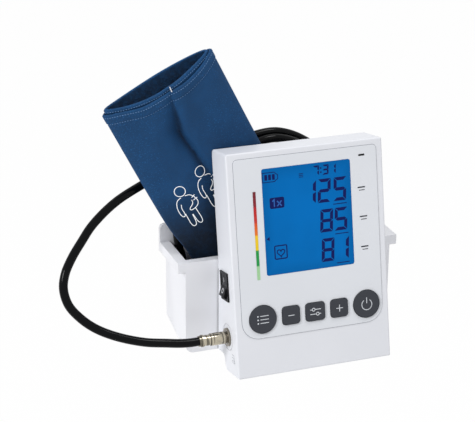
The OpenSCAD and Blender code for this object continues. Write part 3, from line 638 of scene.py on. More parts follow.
class Finish(Enum):
    """Every finish that a piece of the monitor can have."""

    CASE = MouldedPlastic("satin_white_case", WHITE, gloss=0.2)
    BASKET = MouldedPlastic(
        "satin_white_basket", colour(240, 241, 246), roughness=0.46, grain=1900, grain_depth=0.00002,
        edge=0.0006, crevice=0.006)
    PANEL = MouldedPlastic(
        "printed_pale_panel", colour(227, 230, 236), roughness=0.36, grain=3200, grain_depth=0.000005,
        edge=0.0003)
    BLACK = MouldedPlastic(
        "black_plastic", colour(17, 18, 21), roughness=0.34, grain=2400, grain_depth=0.000012, edge=0.0004,
        crevice=0.004, gloss=0.12)
    CHIP = MouldedPlastic(
        "moulded_parts", colour(34, 35, 37), roughness=0.5, grain=3000, grain_depth=0.00002, edge=0.0002)
    MILKY = MouldedPlastic(
        "milky_plastic", colour(236, 240, 244), roughness=0.3, grain=3000, grain_depth=0.000004,
        edge=0.0003)
    KEY = Rubber(
        "grey_key_rubber", colour(52, 55, 62), roughness=0.52, dust=0.06, grain=1600, grain_depth=0.00001,
        edge=0.0009)
    MAT = Rubber("grey_mat_rubber", colour(150, 155, 160), roughness=0.55)
    HOSE = Rubber(
        "black_hose_rubber", colour(6, 7, 9), roughness=0.1, dust=0.03, grain=700, grain_depth=0.00001,
        edge=0.0004, gloss=0.1)
    TUBE = Rubber("pale_silicone_tube", colour(222, 217, 205), roughness=0.35)
    # the nickel's dark bands are painted reflections, and its crevices get painted shade
    NICKEL = PlatedMetal(
        "warm_nickel", colour(186, 178, 160), roughness=0.12, lines=(2600, 60, 60), tarnish=0.35,
        crevice=0.004, painted_reflection=0.75)
    STEEL = PlatedMetal(
        "zinc_steel", colour(196, 197, 200), roughness=0.3, lines=(3000, 3000, 3000), tarnish=0.2)
    BRASS = PlatedMetal("brass_blades", colour(201, 168, 98), roughness=0.3)
    MOTOR = PlatedMetal(
        "motor_can", colour(188, 190, 192), roughness=0.32, lines=(120, 6000, 6000), tarnish=0.15)
    BOARD = Laminate("circuit_board", colour(20, 92, 52))
    CELL = MouldedPlastic(
        "cell_jacket", colour(158, 112, 52), roughness=0.3, grain=2000, grain_depth=0.000004, edge=0.0004)
    OUTER_CLOTH = WovenCloth("navy_nylon", NAVY)
    # the lining is the navy darkened: partly its duller fuzzy cloth, partly painted shade inside the mouth
    INNER_CLOTH = WovenCloth("navy_lining", shade(NAVY, 0.62), pitch=0.0011, relief=0.00045, fuzz=0.4)
    THREAD = Ink("pale_blue_thread", colour(116, 154, 200), roughness=0.7, gloss=0.1)
    TAG = Ink("white_tag_thread", colour(240, 243, 248), roughness=0.7, gloss=0.1)
    # the cloth print's glow is painted light that brightens the white print; the cloth gives off no light
    CLOTH_PRINT = Ink("white_cloth_print", colour(246, 250, 255), roughness=0.6, glow=0.14, gloss=0.1)
    DIGIT = Ink("display_digits", colour(18, 26, 86), roughness=0.45, glow=0.1, gloss=0.08)
    DISPLAY_MARK = Ink("display_pale_mark", colour(50, 98, 172), roughness=0.45, glow=0.1, gloss=0.08)
    KEY_PRINT = Ink("pale_key_print", colour(214, 218, 224))
    PANEL_PRINT = Ink("dark_panel_print", colour(38, 42, 52), roughness=0.5, gloss=0.1)
    # painted shadow lines for the gaps round the panel and along the heel
    SEAM = Ink("seam_shadow", colour(150, 154, 162), roughness=0.7, gloss=0.1)
    HEEL_GAP_SHADOW = Ink("joint_shadow", colour(66, 70, 76), roughness=0.7, gloss=0.1)
    SOCKET = PlatedMetal(
        "tarnished_nickel", colour(158, 151, 138), roughness=0.16, lines=(2600, 60, 60), tarnish=0.4,
        crevice=0.005)
    SIDE_PRINT = Ink("grey_side_print", colour(150, 154, 162))
    ROCKER_PRINT = Ink("white_rocker_print", colour(232, 234, 238))


class Materials:
    """Builds each finish's material once."""

    made: ClassVar[dict[Finish, bpy.types.Material]] = {}

    @classmethod
    def of(cls, finish: Finish) -> bpy.types.Material:
        """The material of a finish.

        Args:
            finish: the finish.

        Returns:
            Its material, made when it is first asked for.
        """
        if finish not in cls.made:
            cls.made[finish] = finish.value.material()
        return cls.made[finish]


@dataclass
class Shape:
    """Points in millimetres and the faces between them, for one piece."""

    points: list[Vector] = field(default_factory=list)
    faces: list[tuple[int, ...]] = field(default_factory=list)
    spread: list[tuple[float, float]] = field(default_factory=list)
    folds: list[float] = field(default_factory=list)
    second: set[int] = field(default_factory=set)

    def add(self, points: Sequence[Point]) -> int:
        """Adds points and returns the number of the first.

        Args:
            points: points in millimetres.

        Returns:
            The number of the first one.
        """
        start = len(self.points)
        self.points.extend(Vector(p) for p in points)
        return start

    def rings(self, rows: Sequence[Sequence[Point]], closed: bool = False, caps: bool = True) -> None:
        """Joins rings of equal length with quads.

        Args:
            rows: the rings, each a closed loop of points.
            closed: whether the last ring joins the first.
            caps: whether open ends get a face.
        """
        count = len(rows[0])
        start = self.add([p for row in rows for p in row])
        for i in range(len(rows) if closed else len(rows) - 1):
            a, b = start + i * count, start + (i + 1) % len(rows) * count
            for k in range(count):
                n = (k + 1) % count
                self.faces.append((a + k, a + n, b + n, b + k))
        if caps and not closed:
            self.faces.append(tuple(start + k for k in reversed(range(count))))
            self.faces.append(tuple(start + (len(rows) - 1) * count + k for k in range(count)))

    def piece(self, name: str, body: str, finishes: Sequence[Finish], slot: str,
              sharp: float = 40) -> bpy.types.Object:
        """Makes the object, dressed and riding on its body.

        Args:
            name: the piece's name.
            body: the body that it moves with.
            finishes: its finish, and the second one where faces use it.
            slot: the record's material slot, not used.
            sharp: the angle in degrees above which an edge stays sharp.

        Returns:
            The object, at the origin.
        """
        mesh = bpy.data.meshes.new(name)
        mesh.from_pydata([p * MM for p in self.points], [], self.faces)
        for finish in finishes:
            mesh.materials.append(Materials.of(finish))
        for index in self.second:
            mesh.polygons[index].material_index = 1
        if self.spread:
            layer = mesh.uv_layers.new(name="weave")
            for loop in mesh.loops:
                layer.data[loop.index].uv = self.spread[loop.vertex_index]
        # the painted shade of the cloth, kept per point as its fold attribute
        if self.folds:
            mesh.attributes.new("fold", "FLOAT", "POINT").data.foreach_set("value", self.folds)
        mesh.validate()
        made = linked(name, mesh)
        outward(made)
        mesh.polygons.foreach_set("use_smooth", [True] * len(mesh.polygons))
        mesh.set_sharp_from_angle(angle=math.radians(sharp))
        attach(made, body)
        log.info("%s: %d faces on %s", name, len(mesh.polygons), body)
        return made


@dataclass(kw_only=True)
class Print(Shape):
    """Flat marks that stand a little above one face of the object.

    The place turns a spot on the face and a height above it into a point. The marks reach from the low height
    to the high one, and their corners are drawn in past the sharpest mitre.
    """

    place: Place
    low: float = 0.01
    high: float = 0.05
    sharpest_mitre: float = 0.45

    def patch(self, outline: Path) -> None:
        """Prints a filled outline."""
        self.rings([[self.place(x, y, h) for x, y in outline] for h in (self.low, self.high)])

    def stroke(self, path: Path, width: float, closed: bool = False) -> None:
        """Prints a line of even width.

        Args:
            path: the line's middle.
            width: its width.
            closed: whether its end joins its start.
        """
        rows = []
        count = len(path)
        for i, (x, y) in enumerate(path):
            before = path[i - 1] if closed or i > 0 else path[0]
            after = path[(i + 1) % count] if closed or i < count - 1 else path[-1]
            first = Vector((x - before[0], y - before[1]))
            last = Vector((after[0] - x, after[1] - y))
            first = first.normalized() if first.length else last.normalized()
            last = last.normalized() if last.length else first
            side = Vector((-(first.y + last.y), first.x + last.x)).normalized()
            reach = width / 2 / max(self.sharpest_mitre, side.dot(Vector((-first.y, first.x))))
            left = (x + side.x * reach, y + side.y * reach)
            right = (x - side.x * reach, y - side.y * reach)
            rows.append([self.place(*point, height) for point, height in (
                (left, self.low), (right, self.low), (right, self.high), (left, self.high))])
        self.rings(rows, closed=closed)


def linked(name: str, data: bpy.types.ID) -> bpy.types.Object:
    """Makes an object and links it to the scene.

    Args:
        name: the object's name.
        data: its mesh, lamp or camera.

    Returns:
        The object.
    """
    made = bpy.data.objects.new(name, data)
    bpy.context.scene.collection.objects.link(made)
    return made


def outward(made: bpy.types.Object) -> None:
    """Turns a closed mesh's faces outwards.

    Args:
        made: the object whose mesh is turned.
    """
    work = bmesh.new()
    work.from_mesh(made.data)
    bmesh.ops.recalc_face_normals(work, faces=work.faces)
    work.to_mesh(made.data)
    work.free()


@dataclass(frozen=True)
class UnitFront:
    """The leaning unit's own frame: across from its middle, depth behind its front, and up its front."""

    middle: float = 4.0
    front: float = -92.4894
    drop: float = 55.0
    lean: float = 11.0
    panel: float = -0.4
    lens: float = -0.5
    cap: float = -1.3
    half_width: float = 60.0

    def at(self, across: float, depth: float, up: float) -> Vector:
        """A point of the unit in the part's frame.

        Args:
            across: distance to the right of its middle.
            depth: distance behind its front.
            up: distance up its front from its foot.

        Returns:
            The point in millimetres.
        """
        turn = math.radians(self.lean)
        return Vector((self.middle + across, self.front + depth * math.cos(turn) + up * math.sin(turn),
                       -self.drop - depth * math.sin(turn) + up * math.cos(turn)))

    def face(self, depth: float) -> Place:
        """Places marks on the face at a depth, raised towards the front."""
        return lambda across, up, height: self.at(across, depth - height, up)

    def from_edge(self, depth: float) -> Place:
        """Places marks on the face at a depth too, but measured across from its left edge."""
        return lambda across, up, height: self.at(across - self.half_width, depth - height, up)


UNIT = UnitFront()


@dataclass(frozen=True)
class Camera:
    """Where the photograph was taken from, in metres and radians."""

    place: tuple[float, float, float] = (-0.41097, -1.05832, 0.48794)
    yaw: float = 0.35042
    pitch: float = 0.38060
    roll: float = 0.00727
    lens: float = 121.87
    sensor: float = 36.0
    reach: float = 80.0

    def build(self) -> bpy.types.Object:
        """Makes the scene's camera.

        Returns:
            The camera.
        """
        ahead = Vector((math.sin(self.yaw) * math.cos(self.pitch),
                        math.cos(self.yaw) * math.cos(self.pitch), -math.sin(self.pitch)))
        level = Vector((math.cos(self.yaw), -math.sin(self.yaw), 0))
        upright = level.cross(ahead)
        right = math.cos(self.roll) * level + math.sin(self.roll) * upright
        top = -math.sin(self.roll) * level + math.cos(self.roll) * upright
        made = linked("camera", bpy.data.cameras.new("camera"))
        turned = Matrix((right, top, -ahead)).transposed().to_4x4()
        made.matrix_world = Matrix.Translation(self.place) @ turned
        made.data.lens = self.lens
        made.data.sensor_width = self.sensor
        made.data.sensor_fit = "HORIZONTAL"
        made.data.clip_end = self.reach
        bpy.context.scene.camera = made
        log.info("camera: %.1f mm lens", self.lens)
        return made


@dataclass(frozen=True)
class Studio:
    """White floor, soft sky and large soft lamps, each with its name, place, size and power."""

    floor_height: float = -0.5
    floor_size: float = 60.0
    floor_white: float = 0.975
    sky: float = 0.49
    aim: tuple[float, float, float] = (0, 0, 0.03)
    lamps: tuple[tuple[str, tuple[float, float, float], float, float], ...] = (
        ("key_lamp", (-2.2, -0.9, 1.5), 0.9, 38.0),
        ("top_lamp", (0.65, -0.4, 2.4), 0.9, 20.0),
    )

    def build(self) -> None:
        """Lights the scene."""
        world = bpy.data.worlds.new("soft_sky")
        bpy.context.scene.world = world
        world.use_nodes = True
        sky = Tree(world.node_tree)
        sky.tree.nodes.clear()
        light, shown = (sky.node("ShaderNodeBackground", inputs={"Color": WHITE_LIGHT, "Strength": strength})
                        for strength in (self.sky, 1.0))
        choice = sky.node("ShaderNodeMixShader", inputs={
            0: sky.looked_at(), 1: light.outputs[0], 2: shown.outputs[0]})
        sky.node("ShaderNodeOutputWorld", inputs={"Surface": choice.outputs[0]})
        for name, place, size, power in self.lamps:
            data = bpy.data.lights.new(name, "AREA")
            data.shape, data.size, data.energy = "DISK", size, power
            lamp = linked(name, data)
            lamp.location = place
            lamp.rotation_mode = "QUATERNION"
            lamp.rotation_quaternion = (Vector(self.aim) - Vector(place)).to_track_quat("-Z", "Y")
        self.floor()
        bpy.context.scene.view_settings.view_transform = "Standard"
        log.info("studio: %d lamps", len(self.lamps))

    def floor(self) -> None:
        """Lays the pale floor that keeps the object's shadow."""
        graph = Graph("pale_floor")
        cloud = graph.noise(graph.place(), 3, 2).between(0.3, 0.7)
        graph.set(Base_Color=graph.mix(cloud, colour(250, 250, 250), colour(253, 253, 253)), Roughness=0.9)
        white = graph.node("ShaderNodeEmission", inputs={"Color": WHITE_LIGHT, "Strength": 1.0})
        blend = graph.node("ShaderNodeMixShader", inputs={
            0: graph.looked_at() * self.floor_white, 1: graph.shader.outputs[0], 2: white.outputs[0]})
        output = next(n for n in graph.tree.nodes if n.type == "OUTPUT_MATERIAL")
        graph.tree.links.new(blend.outputs[0], output.inputs[0])
        half = self.floor_size / 2
        mesh = bpy.data.meshes.new("floor")
        mesh.from_pydata([(x * half, y * half, self.floor_height)
                          for x, y in ((-1, -1), (1, -1), (1, 1), (-1, 1))], [], [(0, 1, 2, 3)])
        mesh.materials.append(graph.material)
        made = linked("floor", mesh)


@dataclass
class AirHose:
    """Rubber air hose from the quick connector to the cuff's port, along listed points."""

    diameter: float = 6.5
    length: float = 1250.0
    sides: int = 20
    step: float = 2.2
    sharp: float = 60.0
    least_gap: float = 1e-6
    exit: tuple[float, float, float] = (-78.6, -69.0248, -31.2407)
    out: tuple[Point, ...] = (
        (-93, -68.9, -30.5), (-102.5, -68.3, -29), (-118.5, -66.5, -26.5), (-138.5, -62.5, -20.5),
        (-152.5, -57.5, -14), (-162, -52.5, -6.5), (-168.5, -47.5, 2), (-170.5, -42.5, 12.5),
        (-168, -38.5, 22), (-161.5, -33.5, 31.5), (-152.5, -28, 41), (-143, -22.5, 50),
        (-124.5, -15.5, 62), (-103, -9.5, 70.5), (-78, -4.8, 78.5), (-50, -3.9, 87.5),
        (-25, -3.9, 95), (0, -3.9, 99), (13, -3.9, 96.5), (27, -4, 89.5))
    first_loop: tuple[Point, ...] = (
        (45, -5, 75), (59, -7.2, 54), (68, -8.5, 30), (69, -9.5, 6), (60, -12, -15),
        (41, -17, -31), (16, -22, -37.5), (-10, -25, -39.5), (-34, -25, -39.8), (-51, -22, -36.5),
        (-63, -17, -24), (-68.5, -13.5, -7), (-72, -12.4, 9), (-75.2, -12, 24), (-75.6, -11.4, 38),
        (-69, -10.9, 54), (-53, -10.8, 71), (-31, -10.8, 86), (-5, -10.8, 96), (9, -10.8, 94.5),
        (24, -10.8, 87))
    second_loop: tuple[Point, ...] = (
        (41, -11, 69), (50, -12, 48), (52.5, -12.5, 25), (47.5, -12.5, 5), (33, -12, -11),
        (12, -11, -17.5), (-11, -9.5, -12.5), (-27.5, -9.5, 3), (-33.5, -9.5, 24), (-26, -9.5, 43),
        (-8, -10, 57), (14, -13, 62))
    to_port: tuple[Point, ...] = (
        (35, -18, 57.5), (52, -23, 42), (62, -26, 26.5), (66.5, -27, 11), (67, -27, -3),
        (64.5, -27, -16.5), (57.5, -27, -27.5), (46.5, -27, -33.5), (34.5, -27, -34), (23.5, -27, -29))

    def route(self, cuff: "Cuff") -> list[Vector]:
        """Lays out the route, from the connector to the cuff's port.

        Args:
            cuff: the cuff that the hose ends at.

        Returns:
            The route's points in millimetres.
        """
        leaving = Vector(self.exit)
        straight = Vector((-self.diameter, 0, 0))
        ends = [cuff.at(cuff.inner_end + cuff.port_length + reach, cuff.port_across, cuff.row(cuff.length)[1])
                for reach in (self.diameter, 0)]
        hand_laid = self.out + self.first_loop + self.second_loop + self.to_port
        return [leaving, leaving + straight, *(Vector(p) for p in hand_laid), *ends]

    def line(self, route: Sequence[Vector]) -> list[Vector]:
        """Draws a smooth line through the route, in steps of about one length.

        Args:
            route: the points that the line passes through.

        Returns:
            The line's points, up to the route's last one.
        """
        points = []
        for i in range(len(route) - 1):
            here, there = route[i], route[i + 1]
            before = route[i - 1] if i else route[0] * 2 - route[1]
            after = route[i + 2] if i + 2 < len(route) else route[-1] * 2 - route[-2]
            first, span, last = (max(self.least_gap, (b - a).length) ** 0.5
                                 for a, b in ((before, here), (here, there), (there, after)))
            start = (here - before) / first - (there - before) / (first + span) + (there - here) / span
            stop = (there - here) / span - (after - here) / (span + last) + (after - there) / last
            start, stop = start * span, stop * span
            steps = max(2, round((there - here).length / self.step))
            points.extend(curve(k / steps, here, start, there, stop) for k in range(steps))
        return points + [route[-1]]

    def build(self, cuff: "Cuff") -> bpy.types.Object:
        """Args:
            cuff: the cuff that the hose ends at.

        Returns:
            The hose.
        """
        line = self.line(self.route(cuff))
        last = len(line) - 1
        tangents = [(line[min(i + 1, last)] - line[max(i - 1, 0)]).normalized() for i in range(len(line))]
        tangents[0] = Vector((-1, 0, 0))
        turns = [2 * math.pi * k / self.sides for k in range(self.sides)]
        side = Vector((0, 0, 1))
        rows = []
        for point, tangent in zip(line, tangents):
            side = (side - tangent * side.dot(tangent)).normalized()
            other = tangent.cross(side)
            rows.append([point + (side * math.cos(turn) + other * math.sin(turn)) * self.diameter / 2
                         for turn in turns])
        shape = Shape()
        shape.rings(rows)
        made = shape.piece("hose", ROOT, [Finish.HOSE], "hose_rubber", self.sharp)
        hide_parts("air_hose")
        log.info("hose: %.0f mm long", sum((b - a).length for a, b in zip(line, line[1:])))
        [p * MM for p in line]
        return made


@dataclass(frozen=True)
class Turn:
    """One turn of the rolled cuff: its inset from the outer face, its rims' own shapes, and its end.

    The pocket is the bottom of its inside, or None where it is open at both ends.
    """

    inset: float
    front_rim: tuple[Point, ...]
    back_rim: tuple[Point, ...]
    end: float
    pocket: float | None = None

    def rim(self, across: float, front: float) -> float:
        """How far down its rim lies, with front as the share of the front's rim."""
        return along(self.front_rim, across) * front + along(self.back_rim, across) * (1 - front)


@dataclass
class Cuff:
    """Rolled cuff: two flattened turns of padded cloth hanging from a tilted mouth.

    Sizes are in millimetres. A row holds a distance down with the cuff's thickness and middle there. A rim
    holds places across and how far down the rim lies there. The crease's tables run by distance down. A
    bulge holds its share of the crease's depth, its place beside the crease and its spread. A wave holds its
    lengths across and down and its height. The other pairs hold where a change starts and where it ends, the
    left and the right value, or a size and its reach.
    """

    mouth: tuple[float, float, float] = (-93, 0, 152)
    tilt: float = 27.3
    width: float = 89.0
    length: float = 187.0
    cloth: float = 2.0
    gap: float = 0.3
    slack: float = 0.5
    inner_pocket: float = 150.0
    inner_end: float = 184.0
    port_across: float = 18.0
    port_length: float = 12.0
    sharp: float = 70.0
    around: int = 260
    rows: tuple[Point, ...] = (
        (0, 28, -24.7), (12, 26, -24.4), (30, 22, -24), (50, 18, -23.6), (70, 16.4, -23.3),
        (90, 17.6, -24.2), (120, 20, -26), (150, 20, -27), (187, 18, -27))
    section: tuple[float, float] = (1.75, 0.5)
    section_change: tuple[float, float] = (10, 90)
    front_share: tuple[float, float] = (0.22, -0.22)
    rim_rows: tuple[float, ...] = (0, 0.8, 1.8, 3, 4.2, 5.3, 6.1, 6.6, 7, 7.4, 8, 9)
    fine_step: float = 1.5
    coarse_step: float = 3.0
    coarse_below: float = 90.0
    last_step: float = 1.7
    edge_turns: tuple[float, ...] = (30, 60, 90, 120, 150)
    worn_inside: float = 0.8
    worn_edge: float = 0.9
    inside_weave: float = 400.0
    hem: float = 7.0
    hem_thick: float = 0.35
    hem_span: tuple[float, float] = (0.6, -1.0)
    hem_groove: tuple[float, float] = (0.3, 0.5)
    rim_seam: float = 1.4
    seam_points: int = 240
    seam_sink: float = 0.05
    front_rim: tuple[Point, ...] = (
        (-46, -0.7), (-34, 1.4), (-21, 5), (-9, 5.6), (3, 5.8), (16, 6), (29, 3.9), (42, -0.2), (45, -0.8))
    back_rim: tuple[Point, ...] = ((-46, -0.7), (-30, 1.6), (-10, 3), (10, 3), (30, 1.9), (45, -0.8))
    inner_front_rim: tuple[Point, ...] = (
        (-46, -4), (-41, -3.4), (-30, -0.4), (-19, 1.8), (-8, 3), (3, 3), (14, 2.2), (24, 0.8), (36, -0.8),
        (45, -1.8))
    inner_back_rim: tuple[Point, ...] = (
        (-46, -4), (-30, -2.2), (-10, -1.5), (10, -1.5), (30, -1.6), (45, -1.8))
    left_reach: tuple[Point, ...] = ((0, 1.1), (80, 1.1), (104, 0.4), (126, -2.6), (187, -4))
    crease: tuple[Point, ...] = (
        (0, 4), (4.5, 2.8), (8.3, 2), (16, 0.4), (25, -1.3), (35, -3.9), (41, -3.5), (46.5, -2.8),
        (55, -1.5), (64, -0.7), (90, 2), (130, 6))
    crease_depth: tuple[Point, ...] = (
        (0, 0.3), (8, 1.6), (18, 3.2), (32, 5.4), (46, 5.4), (60, 4.2), (80, 2.2), (110, 1), (150, 0.2))
    crease_sides: tuple[float, float] = (6.0, 1.6)
    crease_fall: float = 1.3
    bulges: tuple[tuple[float, float, float], ...] = ((0.35, 8, 6), (0.25, -18, 9))
    crease_fade: tuple[float, float] = (46, 30)
    wave: tuple[float, float, float] = (24, 36, 1.5)
    ripple: tuple[float, float, float] = (9, 18, 0.55)
    ripple_slant: float = 30.0
    wave_top: tuple[float, float] = (0, 24)
    wave_fade: tuple[float, float] = (46, 34)
    shaded_front: tuple[float, float] = (0.1, -0.3)
    shaded_sides: tuple[float, float] = (2.6, 1.0)
    shaded_off: float = 0.6
    shaded_fall: float = 1.4
    shaded_crease: tuple[Point, ...] = ((0, 0), (8, 0.25), (20, 0.75), (55, 0.8), (75, 0.5), (95, 0))
    shaded_foot: tuple[float, float] = (64, 120)
    tag_line: Path = ((4, 1.2), (3.8, 3), (3.7, 5.4))
    tag_width: float = 0.55
    print_line: float = 0.5
    head_radius: float = 3.9
    figure_places: Path = ((-25.4, 77.9), (-5.4, 73.1))
    figure_lines: tuple[Path, ...] = (
        ((-1.6, 4.6), (-5.6, 5.6), (-8, 11.4), (-7.6, 18.4), (-5.4, 19.2), (-4.6, 17), (-5, 12.4),
         (-3.8, 9.6)),
        ((1.6, 4.6), (5.6, 5.6), (8.4, 11.6), (7, 15.8), (1, 17.6), (-0.4, 15.6), (4.2, 13), (4.4, 10)),
        ((5.2, 8.4), (8, 7.4)), ((5.4, 10.8), (8.8, 10.2)),
        ((-4.4, 17.6), (-4.6, 29), (-0.6, 29), (-0.2, 20.4)),
        ((4, 16.8), (4.6, 29), (0.8, 29), (0.2, 20.4)))

    def at(self, down: float, across: float, back: float) -> Vector:
        """Finds a point of the cuff in the part's frame.

        Args:
            down: distance down from the mouth.
            across: distance to the right of its middle.
            back: its depth in the part's frame.

        Returns:
            The point in millimetres.
        """
        turn = math.radians(self.tilt)
        return Vector((self.mouth[0] + down * math.sin(turn) + across * math.cos(turn), back,
                       self.mouth[2] - down * math.cos(turn) + across * math.sin(turn)))

    def row(self, down: float) -> tuple[float, float]:
        """Thickness and middle of the cuff at a distance down."""
        return along(self.rows, down, 1), along(self.rows, down, 2)

    def squareness(self, down: float) -> float:
        """How full the cuff's section is at a distance down, 2 for an ellipse."""
        return self.section[0] + self.section[1] * smooth_step(*self.section_change, down)

    def half(self, down: float, side: float, inset: float) -> float:
        """Half the cuff's width on its right side, or on its left where side is negative."""
        return self.width / 2 - inset + (along(self.left_reach, down) if side < 0 else 0)

    def hem_swell(self, down: float) -> float:
        """Extra cloth folded in at the rim, with a groove where it is sewn."""
        fold = self.hem_thick * smooth_step(*(self.hem + edge for edge in self.hem_span), down)
        return fold - self.hem_groove[0] * math.exp(-((down - self.hem) / self.hem_groove[1]) ** 2)

    def relief(self, down: float, across: float, front: float) -> float:
        """Finds how far the outer face stands out from its plain form: crease, bulges and slow waves.

        Args:
            down: distance down from the mouth.
            across: distance to the right of its middle.
            front: 1 on its front and 0 on its back.

        Returns:
            The height in millimetres.
        """
        offset = across - along(self.crease, down)
        depth = along(self.crease_depth, down)
        width = self.crease_sides[0] if offset < 0 else self.crease_sides[1]
        valley = -depth * math.exp(-(abs(offset) / width) ** self.crease_fall)
        bulge = sum(share * depth * math.exp(-((offset - place) / spread) ** 2)
                    for share, place, spread in self.bulges)
        fade = smooth_step(*self.crease_fade, abs(across)) * front
        wide, high, swing = self.wave
        wave = noise.noise(Vector((across / wide, down / high, front * 3))) * swing
        wide, high, swing = self.ripple
        slant = down / self.ripple_slant
        ripple = noise.noise(Vector((across / wide + slant, down / high, 7 + front))) * swing
        waves = (wave + ripple) * smooth_step(*self.wave_top, down)
        return (valley + bulge) * fade + waves * smooth_step(*self.wave_fade, abs(across))

    def point(self, turn: Turn, down: float, angle: float, inset: float, worn: float = 1.0) -> Vector:
        """Finds a point of one turn's face.

        Args:
            turn: the turn.
            down: from 0 at its rim to its end, measured before the rim's dip.
            angle: around the turn, 0 at its right side and pi at its left.
            inset: how far inside the outer face it lies.
            worn: share of the outer face's relief that it follows.

        Returns:
            The point in millimetres.
        """
        power = self.squareness(down)
        cos, sin = math.cos(angle), math.sin(angle)
        across = self.half(down, cos, inset) * math.copysign(abs(cos) ** (2 / power), cos)
        front = smooth_step(*self.front_share, sin)
        rim = turn.rim(across, front)
        lowered = rim + down * (turn.end - rim) / turn.end
        thickness, middle = self.row(lowered)
        deep = (thickness / 2 - inset) * math.copysign(abs(sin) ** (2 / power), sin)
        push = self.relief(lowered, across, front) * worn * abs(sin)
        return self.at(lowered, across, middle + deep + (push if sin > 0 else -push))

    def on_front(self, across: float, down: float, out: float) -> Vector:
        """Finds a point on the cuff's front, for a printed mark.

        Args:
            across: distance to the right of its middle.
            down: distance down from the mouth.
            out: height above the cloth.

        Returns:
            The point in millimetres.
        """
        power = self.squareness(down)
        share = min(1.0, abs(across) / self.half(down, across, 0)) ** (power / 2)
        rise = math.sqrt(max(0.0, 1 - share * share))
        thickness, middle = self.row(down)
        push = self.relief(down, across, 1.0) * rise
        return self.at(down, across, middle - thickness / 2 * rise ** (2 / power) - push - out)

    def shading(self, down: float, angle: float) -> float:
        """Finds how much painted shade darkens the outer cloth, in the crease and low down at the front.

        Args:
            down: distance down from the rim.
            angle: around the turn, 0 at its right side and pi at its left.

        Returns:
            From 0 for the plain colour to 1 for the darkest.
        """
        front = smooth_step(*self.shaded_front, math.sin(angle))
        offset = self.half(down, math.cos(angle), 0) * math.cos(angle) - along(self.crease, down)
        width = self.shaded_sides[0] if offset < -self.shaded_off else self.shaded_sides[1]
        line = math.exp(-(abs(offset + self.shaded_off) / width) ** self.shaded_fall)
        return front * max(line * along(self.shaded_crease, down), smooth_step(*self.shaded_foot, down))

    def wall(self, name: str, turn: Turn, finishes: Sequence[Finish], slot: str) -> bpy.types.Object:
        """Makes one turn of the cuff as a closed wall with a round rim.

        Args:
            name: the piece's name.
            turn: the turn.
            finishes: outer and inner finish.
            slot: the record's material slot.

        Returns:
            The piece.
        """
        stops = list(self.rim_rows)
        while stops[-1] < turn.end - self.last_step:
            stops.append(stops[-1] + (self.fine_step if stops[-1] < self.coarse_below else self.coarse_step))
        outer = stops[:-1] + [turn.end]
        inner = [down for down in outer if down <= (turn.pocket or turn.end)]
        edge = self.cloth / 2
        rows = [(down, turn.inset + self.cloth, self.worn_inside) for down in reversed(inner)]
        for bend in map(math.radians, self.edge_turns):
            rows.append((-edge * math.sin(bend), turn.inset + edge * (1 + math.cos(bend)), self.worn_edge))
        first_outer = len(rows)
        rows.extend((down, turn.inset - self.hem_swell(down), 1.0) for down in outer)
        angles = [2 * math.pi * k / self.around for k in range(self.around)]
        rings = [[self.point(turn, down, angle, inset, worn) for angle in angles]
                 for down, inset, worn in rows]
        shape = Shape()
        shape.rings(rings, closed=turn.pocket is None, caps=turn.pocket is not None)
        for index, (down, _, _) in enumerate(rows):
            lap, outside = 0.0, index >= first_outer
            for k, angle in enumerate(angles):
                shape.spread.append((lap * MM, (down + (0 if outside else self.inside_weave)) * MM))
                # painted shade: the crease's shade and the shadow low at the front, kept per point
                shape.folds.append(self.shading(down, angle) if outside else 0.0)
                lap += (rings[index][(k + 1) % self.around] - rings[index][k]).length
        shape.second = set(range((len(inner) - 1) * self.around)) if turn.pocket else set()
        return shape.piece(name, ROOT, finishes, slot, self.sharp)

    def seam(self, name: str, turn: Turn, down: float) -> bpy.types.Object:
        """Sews a line of stitches round a turn.

        Args:
            name: the piece's name.
            turn: the turn.
            down: how far below its rim.

        Returns:
            The piece.
        """
        count, inset = self.seam_points, turn.inset - self.hem_swell(down) - self.seam_sink
        line = [self.point(turn, down, 2 * math.pi * k / count, inset) * MM for k in range(count)]
        mesh = bpy.data.meshes.new(name)
        mesh.from_pydata(line, [(k, (k + 1) % count) for k in range(count)], [])
        return Stitches().lay(linked(name, mesh), Finish.THREAD)

    def build(self) -> None:
        """Makes both turns, their seams, the sewn tag and the printed figures."""
        outer_turn = Turn(0, self.front_rim, self.back_rim, self.length)
        inner_turn = Turn(self.cloth + self.gap + self.slack, self.inner_front_rim, self.inner_back_rim,
                          self.inner_end, self.inner_pocket)
        outer = self.wall("cuff_outer", outer_turn, [Finish.OUTER_CLOTH], "cuff_cloth")
        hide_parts("cuff_outer_turn")
        inner = self.wall("cuff_inner", inner_turn, [Finish.OUTER_CLOTH, Finish.INNER_CLOTH], "lining_cloth")
        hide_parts("cuff_inner_turn")
        self.seam("outer_hem_seam", outer_turn, self.hem)
        self.seam("outer_rim_seam", outer_turn, self.rim_seam)
        self.seam("inner_rim_seam", inner_turn, self.rim_seam)
        self.tag()
        self.figures()

    def tag(self) -> None:
        """Ties off the seam with a short white bar of thread over both rims."""
        bar = Print(place=self.on_front, low=0.1, high=0.5)
        bar.stroke(self.tag_line, self.tag_width)
        bar.piece("seam_tag", ROOT, [Finish.TAG], "cuff_cloth")

    def figures(self) -> None:
        """Prints two plain seated figures, each with a band round one arm."""
        marks = Print(place=self.on_front, low=0.02, high=0.14)
        for across, down in self.figure_places:
            marks.place = lambda x, y, out, a=across, d=down: self.on_front(a + x, d + y, out)
            marks.stroke(circle(0, 0, self.head_radius), self.print_line, closed=True)
            for path in self.figure_lines:
                marks.stroke(supple(path), self.print_line)
        marks.piece("arm_figures", ROOT, [Finish.CLOTH_PRINT], "cuff_cloth")


